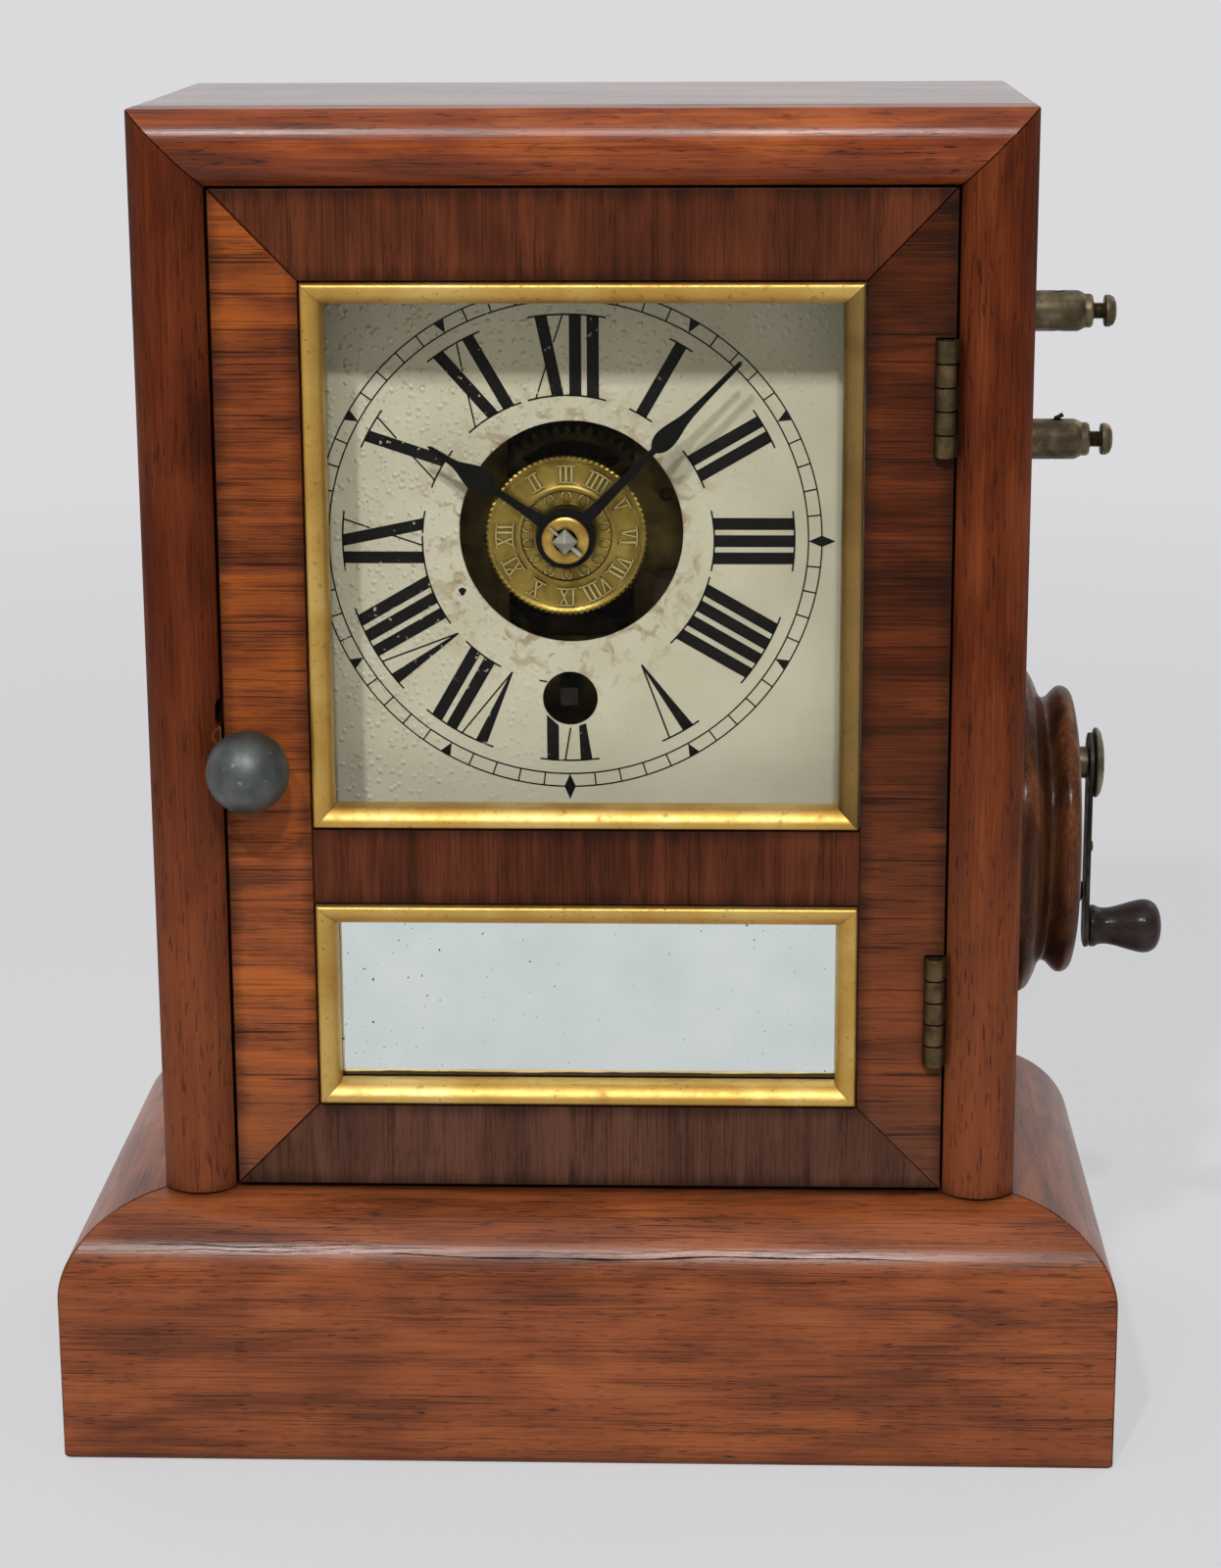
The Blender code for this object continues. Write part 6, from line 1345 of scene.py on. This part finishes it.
@dataclass
class Hands:
    """The leaf hands on the arbor, with the collet, the squared tip and the pin.

    A hand's sides are given as share of its length and half width in millimetres.
    """

    axis: Flat = ARBOR
    boss: float = 0.0065
    root: float = 0.0014
    minute_length: float = 0.0553
    hour_length: float = 0.0366
    minute_turn: float = 44.58
    hour_turn: float = 303.715
    pin_turn: float = 42.0
    collet: float = 0.0053
    collet_bore: float = 0.0027
    tip_half: float = 0.0028
    tip_rise: float = 0.0016
    minute_sides: tuple[Flat, ...] = (
        (0.28, 1.05), (0.485, 0.72), (0.505, 1.0), (0.52, 1.62), (0.54, 2.1), (0.566, 2.3), (0.6, 2.1),
        (0.63, 1.75), (0.662, 1.33), (0.70, 1.03), (0.74, 0.86), (0.817, 0.68), (0.985, 0.5))
    hour_sides: tuple[Flat, ...] = (
        (0.35, 0.9), (0.528, 0.76), (0.543, 1.25), (0.56, 2.1), (0.60, 2.75), (0.645, 2.9), (0.69, 2.45),
        (0.748, 1.62), (0.78, 1.12), (0.82, 0.8), (0.9, 0.64), (0.975, 0.46))
    pin: tuple[Flat, ...] = ((0.0, -0.0049), (0.00022, -0.0047), (0.00064, 0.0046), (0.0005, 0.0048),
                             (0.0, 0.0048))

    def outline(self, length: float, sides: Sequence[Flat]) -> list[Flat]:
        """Returns a hand pointing up: boss, arm, leaf and long point."""
        lift = math.sqrt(self.boss ** 2 - self.root ** 2)
        edge = [(half / 1000.0, share * length) for share, half in sides]
        right = smooth_line([(self.root, lift), *edge], 5)
        start = math.atan2(lift, self.root)
        round_boss = [start - (math.pi + 2 * start) * i / 60 for i in range(1, 60)]
        boss = [(self.boss * math.cos(turn), self.boss * math.sin(turn)) for turn in round_boss]
        return [(0.0, length), *right[::-1], *boss, *[(-u, v) for u, v in right]]

    def build_hand(self, name: str, length: float, sides: Sequence[Flat], turn: float, body: Body,
                   eye: float) -> None:
        """Builds a hand at its hour.

        Args:
            name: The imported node's name.
            length: From the arbor to the point.
            sides: Its two sides.
            turn: Degrees clockwise from twelve.
            body: The body that it rides on.
            eye: Radius of its hole.
        """
        low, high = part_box(name)
        bm = slab(self.outline(length, sides), low.y, high.y, [ring(eye, (0.0, 0.0), 32)])
        turn_to(bm, turn, (self.axis[0], 0.0, self.axis[1]))
        add_piece(f"{name}_leaf", bm, BLACK_STEEL, body, [name], 0.00015)

    def build_centre(self) -> None:
        """Builds the collet, the arbor's squared tip with its four facets, and the tapered pin."""
        x, z = self.axis
        low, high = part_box("hand_collet")
        dish = smooth_line([(self.collet, high.y - 0.0002), (self.collet * 0.97, low.y + 0.0003),
                            (self.collet * 0.75, low.y), (self.collet_bore, low.y + 0.0001)], 5)
        bm = lathe([(self.collet_bore, high.y), (self.collet, high.y), *dish], Axis.Y, (x, 0.0, z), 56, True)
        add_piece("hand_collet_dished", bm, COLLET_BRASS, Body.CENTRE, ["hand_collet"])
        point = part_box("centre_wheel")[0].y - 0.0001
        corners = [(self.tip_half, 0.0), (0.0, self.tip_half), (-self.tip_half, 0.0), (0.0, -self.tip_half)]
        bm = skin([[(x + u * k, y, z + v * k) for u, v in corners]
                   for y, k in ((low.y + 0.0004, 1.0), (point + self.tip_rise, 1.0), (point, 0.05))])
        add_piece("arbor_tip", bm, TIP_STEEL, Body.CENTRE, edge=0.0001, crease=15.0)
        low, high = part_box("hand_pin")
        bm = turn_to(lathe(self.pin, Axis.X, (0.0, 0.0, 0.0), 24), self.pin_turn,
                     (x, (low.y + high.y) / 2, z))
        add_piece("hand_pin_tapered", bm, TIP_STEEL, Body.CENTRE, ["hand_pin"])

    def build(self) -> None:
        """Builds the hands and what holds them."""
        self.build_hand("minute_hand", self.minute_length, self.minute_sides, self.minute_turn, Body.CENTRE,
                        0.00285)
        self.build_hand("hour_hand", self.hour_length, self.hour_sides, self.hour_turn, Body.HOUR, 0.0038)
        self.build_centre()


@dataclass
class AlarmDisc:
    """The stamped brass alarm disc with its roped edge, raised numerals and ring of sprays.

    The face is given as radius and lift, and the rope as radius, lift and swing, with lifts and swings as
    shares of the embossing.
    """

    axis: Flat = ARBOR
    radius: float = 0.018
    bore: float = 0.0040
    thickness: float = 0.0012
    rope_teeth: int = 84
    emboss: float = 0.0003
    sprays: int = 14
    hub: float = 0.0050
    cam: Flat = (0.0075, 0.0056)
    face: tuple[Flat, ...] = (
        (0.0040, 0.0), (0.0068, 0.0), (0.0070, 0.3), (0.0073, 0.3), (0.0074, -1.2), (0.0100, -1.2),
        (0.0102, 0.7), (0.0107, 1.0), (0.0111, 0.6), (0.0114, 0.0), (0.0164, 0.0), (0.0166, 0.35))
    rope: tuple[Point, ...] = ((0.0169, 1.0, 0.6), (0.0173, 1.2, 0.9), (0.0177, 0.7, 0.9),
                               (0.0178, -1.5, 0.9))
    spray: tuple[Flat, ...] = ((0.0001, 0.0076), (0.0009, 0.0084), (0.0008, 0.0094), (0.0003, 0.0097))

    def spot(self, radius: float, share: float, y: float) -> Point:
        """Returns the point of the disc at a radius and a share of the turn."""
        angle = 2 * math.pi * share
        return (self.axis[0] + radius * math.sin(angle), y, self.axis[1] + radius * math.cos(angle))

    def build_face(self, front: float) -> None:
        """Builds the disc itself, with its raised rings and the rope round its edge."""
        steps = range(2 * self.rope_teeth)
        loops = [[self.spot(radius, i / len(steps), front - lift * self.emboss) for i in steps]
                 for radius, lift in self.face]
        for radius, lift, swing in self.rope:
            waves = [swing * math.cos(math.pi * (i + (radius - 0.0169) / 0.0009)) for i in steps]
            loops.append([self.spot(radius + 0.0002 * wave, i / len(steps),
                                    front - self.emboss * (lift + wave)) for i, wave in zip(steps, waves)])
        for radius in (self.radius - 0.0003, self.bore):
            loops.append([self.spot(radius, i / len(steps), front + self.thickness) for i in steps])
        add_piece("alarm_disc_stamped", skin(loops, True), DISC_BRASS, Body.ALARM, ["alarm_disc"])

    def build_relief(self, front: float) -> None:
        """Builds the raised numerals, with three at the top, and the ring of small sprays inside them."""
        letters = Lettering(self.axis, inner=0.0120, outer=0.0157, bar=0.00045, pitch=0.00125, wide=0.0020,
                            thin=0.0003, serif=0.0006)
        bm = bmesh.new()
        for hour, text in enumerate(NUMERALS):
            for outline in letters.numeral((hour - 3) % 12, text):
                slab(outline, front - 1.3 * self.emboss, front, bm=bm)
        for hour in (12.0 * k / self.sprays for k in range(self.sprays)):
            for side in (-1, 1):
                line = smooth_line([(side * u, v) for u, v in self.spray], 4)
                thick = [(u + side * 0.0002, v + 0.0002) for u, v in reversed(line)]
                slab([letters.place(hour, u, v) for u, v in [*line, *thick]], front - 0.2 * self.emboss,
                     front + 1.4 * self.emboss, bm=bm)
        add_piece("alarm_disc_relief", bm, RELIEF_BRASS, Body.ALARM, edge=0.00008)

    def build_hub(self) -> None:
        """Builds the hub and the notched cam behind the disc."""
        low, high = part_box("alarm_disc")
        x, z = self.axis
        front = low.y + 0.0012
        bm = lathe([(self.bore, high.y), (self.hub, high.y), (self.hub, front), (self.bore, front)], Axis.Y,
                   (x, 0.0, z), 40, True)
        full, notch = self.cam
        cam = [(full if i > 5 else notch, turn) for i, turn in enumerate(turns(60))]
        slab([(x + r * math.cos(a), z + r * math.sin(a)) for r, a in cam], high.y - 0.0013, high.y - 0.0003,
             [ring(self.hub - 0.0001, self.axis, 40)], bm)
        add_piece("alarm_cam_hub", bm, DIRTY_SHADED_MOVEMENT_BRASS, Body.ALARM)

    def build(self) -> None:
        """Builds the alarm disc."""
        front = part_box("alarm_disc")[0].y + 0.0003
        self.build_face(front)
        self.build_relief(front)
        self.build_hub()


@dataclass
class SideWork:
    """The terminals and the lever switch on the right side.

    The turned pieces are given as radius and distance out from where they start.
    """

    base_x: float = 0.0965
    along: float = 0.0071
    switch_z: float = 0.1309
    pivot_z: float = 0.1469
    handle_z: float = 0.1072
    thread_radius: float = 0.0019
    threads: int = 16
    wire_hole: float = 0.009
    wire_radius: float = 0.0005
    wire_bore: float = 0.0014
    screw_bore: float = 0.0021
    screw_seat: float = 0.0083
    blade_half: float = 0.0045
    blade_eye: float = 0.007
    blade_corner: float = 0.002
    blade_hole: float = 0.0018
    rivet_drop: float = 0.0202
    rivet: tuple[Flat, ...] = ((0.0016, 0.0003), (0.0011, 0.0007), (0.0, 0.0009))
    washer: tuple[Flat, ...] = ((0.0017, 0.0147), (0.0037, 0.0147), (0.0037, 0.0184), (0.0017, 0.0184))
    post: tuple[Flat, ...] = ((0.002, 0.0), (0.0046, 0.0), (0.0046, 0.0132), (0.0044, 0.0138),
                              (0.0041, 0.0144), (0.0038, 0.0148), (0.0038, 0.0161), (0.0034, 0.0166),
                              (0.0, 0.0166))
    screw_head: tuple[Flat, ...] = ((0.0033, 0.0), (0.0036, 0.0003), (0.0036, 0.0012), (0.0031, 0.0021),
                                    (0.002, 0.0026), (0.0, 0.0028))
    base: tuple[Flat, ...] = (
        (0.0382, 0.0012), (0.0381, 0.0028), (0.0371, 0.0043), (0.0348, 0.0056), (0.0323, 0.0066),
        (0.0310, 0.0075), (0.0308, 0.0084), (0.0313, 0.0094), (0.0324, 0.0104), (0.0333, 0.0114),
        (0.0335, 0.0124), (0.0332, 0.0134), (0.0323, 0.0143), (0.0305, 0.0148))
    dome: tuple[Flat, ...] = ((0.0016, 0.0003), (0.0079, 0.0003), (0.0082, 0.0006), (0.0081, 0.0011),
                              (0.0072, 0.0018), (0.0052, 0.0023), (0.0028, 0.00255), (0.0, 0.0026))
    grip: tuple[Flat, ...] = (
        (0.0, 0.0), (0.0044, 0.0), (0.0049, 0.0005), (0.0049, 0.0013), (0.0044, 0.0024), (0.0043, 0.0040),
        (0.0047, 0.0062), (0.0054, 0.0086), (0.0060, 0.0108), (0.0063, 0.0126), (0.0061, 0.0142),
        (0.0052, 0.0156), (0.0036, 0.0165), (0.0017, 0.01692), (0.0, 0.0170))

    def build_terminal(self, name: str, body: Body) -> None:
        """Builds a turned terminal post with its wire hole, and its slotted screw."""
        low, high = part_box(f"{name}_post")
        y, z = (low.y + high.y) / 2, (low.z + high.z) / 2
        centre = (0.0, y, z)
        x = self.base_x
        bm = lathe([(0.0, low.x), (0.002, low.x), *outward(self.post, x)], Axis.X, centre)
        post = add_piece(f"{name}_post_turned", bm, POST_BRASS, Body.CASE, [f"{name}_post"])
        wire, thread = self.wire_bore, self.screw_bore
        carve(post, lathe([(wire, -0.02), (wire, 0.02)], Axis.Z, (x + self.wire_hole, y, z), 24),
              lathe([(thread, x + self.screw_seat), (thread, x + 0.03)], Axis.X, centre, 24))
        low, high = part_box(f"{name}_screw")
        head = high.x - 0.0028
        crest = self.thread_radius
        profile: list[Flat] = [(0.0, low.x), (0.0016, low.x), (crest, low.x + 0.0003)]
        step = (head - low.x - 0.0006) / self.threads
        for i in range(self.threads):
            start = low.x + 0.0004 + step * i
            profile += [(crest, start), (0.00165, start + step / 2)]
        profile += [(crest, head - 0.0001), *outward(self.screw_head, head)]
        screw = add_piece(f"{name}_screw_slotted", lathe(profile, Axis.X, centre, 36), POST_BRASS, body,
                          [f"{name}_screw"])
        carve(screw, box((head + 0.0014, y - 0.0004, z - 0.006), (head + 0.006, y + 0.0004, z + 0.006)))

    def build_base(self) -> None:
        """Builds the turned wooden base of the switch."""
        profile = [(0.0, 0.0), (0.0376, 0.0), (0.0382, 0.0006), *smooth_line(self.base, 4), (0.0262, 0.0149),
                   (0.0, 0.0149)]
        bm = lathe(profile, Axis.X, (self.base_x, self.along, self.switch_z), 96)
        add_piece("switch_base_turned", bm, TURNED_WOOD, Body.CASE, ["switch_base"])

    def build_pivot(self) -> None:
        """Builds the domed pivot screw and the collar under the blade."""
        low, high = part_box("switch_pivot")
        dome = high.x - self.dome[-1][1]
        centre = (0.0, self.along, self.pivot_z)
        bm = lathe([(0.0, low.x), (0.0016, low.x), *outward(self.dome, dome)], Axis.X, centre)
        pivot = add_piece("switch_pivot_domed", bm, POST_BRASS, Body.CASE, ["switch_pivot"])
        carve(pivot, box((dome + 0.0018, self.along - 0.01, self.pivot_z - 0.0005),
                         (dome + 0.006, self.along + 0.01, self.pivot_z + 0.0005)))
        bm = lathe(outward(self.washer, self.base_x), Axis.X, centre, 36, True)
        add_piece("switch_pivot_washer", bm, POST_BRASS, Body.CASE)

    def build_lever(self) -> None:
        """Builds the blade with its round eye and its rivet, and the turned handle."""
        low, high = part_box("switch_blade")
        half, eye, corner = self.blade_half, self.blade_eye, self.blade_corner
        end = self.handle_z - half
        arc = [math.radians(-50.0 + 280.0 * i / 28) for i in range(29)]
        outline = [(eye * math.cos(a), self.pivot_z + eye * math.sin(a)) for a in arc]
        outline += [(-half, end + corner), (-half + corner, end), (half - corner, end), (half, end + corner)]
        bm = slab(outline, low.x, high.x, [ring(self.blade_hole, (0.0, self.pivot_z), 24)])
        for vert in bm.verts:
            vert.co = (vert.co.y, self.along + vert.co.x, vert.co.z)
        root = [(radius, low.x + 0.0002) for radius in (0.0, self.rivet[0][0])]
        lathe([*root, *outward(self.rivet, high.x)], Axis.X,
              (0.0, self.along, self.pivot_z - self.rivet_drop), 24, bm=bm)
        add_piece("switch_blade_sprung", bm, BLADE_STEEL, Body.LEVER, ["switch_blade"], 0.00015)
        grip = smooth_line(self.grip, 4)
        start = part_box("switch_handle")[0].x
        bm = lathe([(max(r, 0.0) if 0 < i < len(grip) - 1 else 0.0, start + a)
                    for i, (r, a) in enumerate(grip)], Axis.X, (0.0, self.along, self.handle_z))
        add_piece("switch_handle_turned", bm, EBONISED, Body.LEVER, ["switch_handle"])
        dress(POST_BRASS, "switch_stud")

    def build_wire(self) -> None:
        """Builds the cut end of wire that stands bent out of the lower terminal."""
        low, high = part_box("wire_end")
        middle = (low + high) / 2
        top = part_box("lower_terminal_post")[1].z
        path = smooth_line([(middle.x - 0.0002, low.z), (middle.x - 0.0005, top - 0.0006),
                            (middle.x + 0.0001, top + 0.0004), (middle.x + 0.0012, top + 0.0011)], 5)
        loops = []
        for i, (x, z) in enumerate(path):
            run = (Vector(path[min(i + 1, len(path) - 1)]) - Vector(path[max(i - 1, 0)])).normalized()
            round_wire = ring(self.wire_radius, (0.0, 0.0), 12)
            loops.append([(x - run.y * across, middle.y + deep, z + run.x * across)
                          for across, deep in round_wire])
        add_piece("wire_end_bent", skin(loops), COPPER, Body.CASE, ["wire_end"])

    def build(self) -> None:
        """Builds the terminals and the switch."""
        self.build_terminal("upper_terminal", Body.UPPER_SCREW)
        self.build_terminal("lower_terminal", Body.LOWER_SCREW)
        self.build_base()
        self.build_pivot()
        self.build_lever()
        self.build_wire()


class Movement:
    """The movement behind the dial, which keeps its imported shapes."""

    def build(self) -> None:
        """Dresses the plates, wheels, spring and pendulum."""
        # The movement's brass and steel are kept dark: painted shade inside the case, and dirt.
        dress(DIRTY_SHADED_MOVEMENT_BRASS, "front_plate", "back_plate", "centre_wheel", "hour_wheel", "minute_wheel",
              "great_wheel", "third_wheel", "escape_wheel", "pendulum_bob", "click")
        dress(OILED_SHADED_STEEL, "mainspring", "winding_arbor", "verge", "pendulum_rod")
        dress(FIBRE, "alarm_contact")


@dataclass
class Studio:
    """The pale floor, the lamps and the camera. A lamp has its place, two sizes and its power in watts."""

    paper: str = "#dcdcde"
    pale: str = "#dadadc"
    even: str = "#f7f6f5"
    even_strength: float = 0.275
    floor_reach: float = 40.0
    lit_point: Point = (0.0, 0.0, 0.16)
    camera_place: Point = (0.032, -0.7749, 0.344)
    yaw: float = 2.06
    pitch: float = 14.53
    roll: float = -0.28
    lens: float = 79.11
    lamps: tuple[tuple[str, Point, float, float, float], ...] = (
        ("left_lamp", (-0.32, -1.35, 1.38), 0.07, 0.07, 10.5),
        ("right_lamp", (0.08, -1.40, 1.31), 0.07, 0.07, 10.0),
        ("top_box", (0.0, -0.25, 1.5), 1.6, 1.0, 3.5),
        ("left_box", (-1.5, -0.5, 0.7), 0.8, 1.2, 0.25),
        ("back_box_left", (-1.1, 1.2, 1.5), 0.9, 0.9, 4.5),
        ("back_box_right", (1.1, 1.2, 1.5), 0.9, 0.9, 4.5))

    def build_floor(self) -> None:
        """Builds the pale floor, which reaches far enough to be the background of every view."""
        bm = bmesh.new()
        bmesh.ops.create_grid(bm, x_segments=1, y_segments=1, size=self.floor_reach)
        floor = mesh_object("paper_floor", bm)
        floor.data.materials.append(StudioPaper("paper_matt", self.paper).material())

    def build_lamps(self) -> None:
        """Adds two small lamps above the camera and broad soft boxes."""
        for name, place, wide, high, power in self.lamps:
            light = bpy.data.lights.new(name, "AREA")
            light.shape, light.size, light.size_y, light.energy = "RECTANGLE", wide, high, power
            lamp = link_object(name, light)
            lamp.location = place
            lamp.rotation_euler = (Vector(self.lit_point) - Vector(place)).to_track_quat("-Z", "Y").to_euler()

    def build_surround(self) -> None:
        """Adds the even light from all round, pale to the eye and in reflections behind the clock."""
        world = bpy.data.worlds.new("even_surround")
        bpy.context.scene.world = world
        world.use_nodes = True
        world.node_tree.nodes.clear()
        nodes = Nodes(world.node_tree)
        way = nodes.add("TexCoord").outputs["Generated"]
        behind = nodes.remap(nodes.add("SeparateXYZ", {0: way}).outputs[1], 0.0, 0.3)
        glossy, *direct = nodes.seen_by("Glossy", "Camera", "Transmission")
        shown = nodes.calc("MULTIPLY", behind, glossy)
        for seen in direct:
            shown = nodes.calc("MAXIMUM", shown, seen)
        even = nodes.add("Background", {"Color": srgb(self.even), "Strength": self.even_strength}).outputs[0]
        pale = nodes.add("Background", {"Color": srgb(self.pale), "Strength": 1.0}).outputs[0]
        nodes.add("OutputWorld", {"Surface": nodes.add("MixShader", {0: shown, 1: even, 2: pale}).outputs[0]})

    def build_camera(self) -> None:
        """Adds the camera at the photograph's place and angle."""
        yaw, pitch, roll = (math.radians(value) for value in (self.yaw, self.pitch, self.roll))
        ahead = Vector((-math.sin(yaw) * math.cos(pitch), math.cos(yaw) * math.cos(pitch), -math.sin(pitch)))
        level = Vector((math.cos(yaw), math.sin(yaw), 0.0))
        upright = level.cross(ahead)
        across = math.cos(roll) * level + math.sin(roll) * upright
        above = -math.sin(roll) * level + math.cos(roll) * upright
        turn = Matrix((across, above, -ahead)).transposed().to_4x4()
        data = bpy.data.cameras.new("photograph_view")
        data.sensor_fit, data.sensor_height, data.lens, data.clip_start = "VERTICAL", 36.0, self.lens, 0.01
        camera = link_object("photograph_view", data)
        camera.matrix_world = Matrix.Translation(self.camera_place) @ turn
        bpy.context.scene.camera = camera

    def build(self) -> None:
        """Builds the studio."""
        self.build_floor()
        self.build_lamps()
        self.build_surround()
        self.build_camera()
        bpy.context.scene.view_settings.view_transform = "Standard"


def main() -> None:
    """Builds the clock's sub-assemblies and the studio in order."""
    logging.basicConfig(level=logging.INFO, format="%(name)s: %(message)s")
    for assembly in (Studio(), Case(), Door(), Dial(), Hands(), AlarmDisc(), SideWork(), Movement()):
        LOG.info("building %s", type(assembly).__name__)
        assembly.build()


if __name__ == "__main__":
    main()
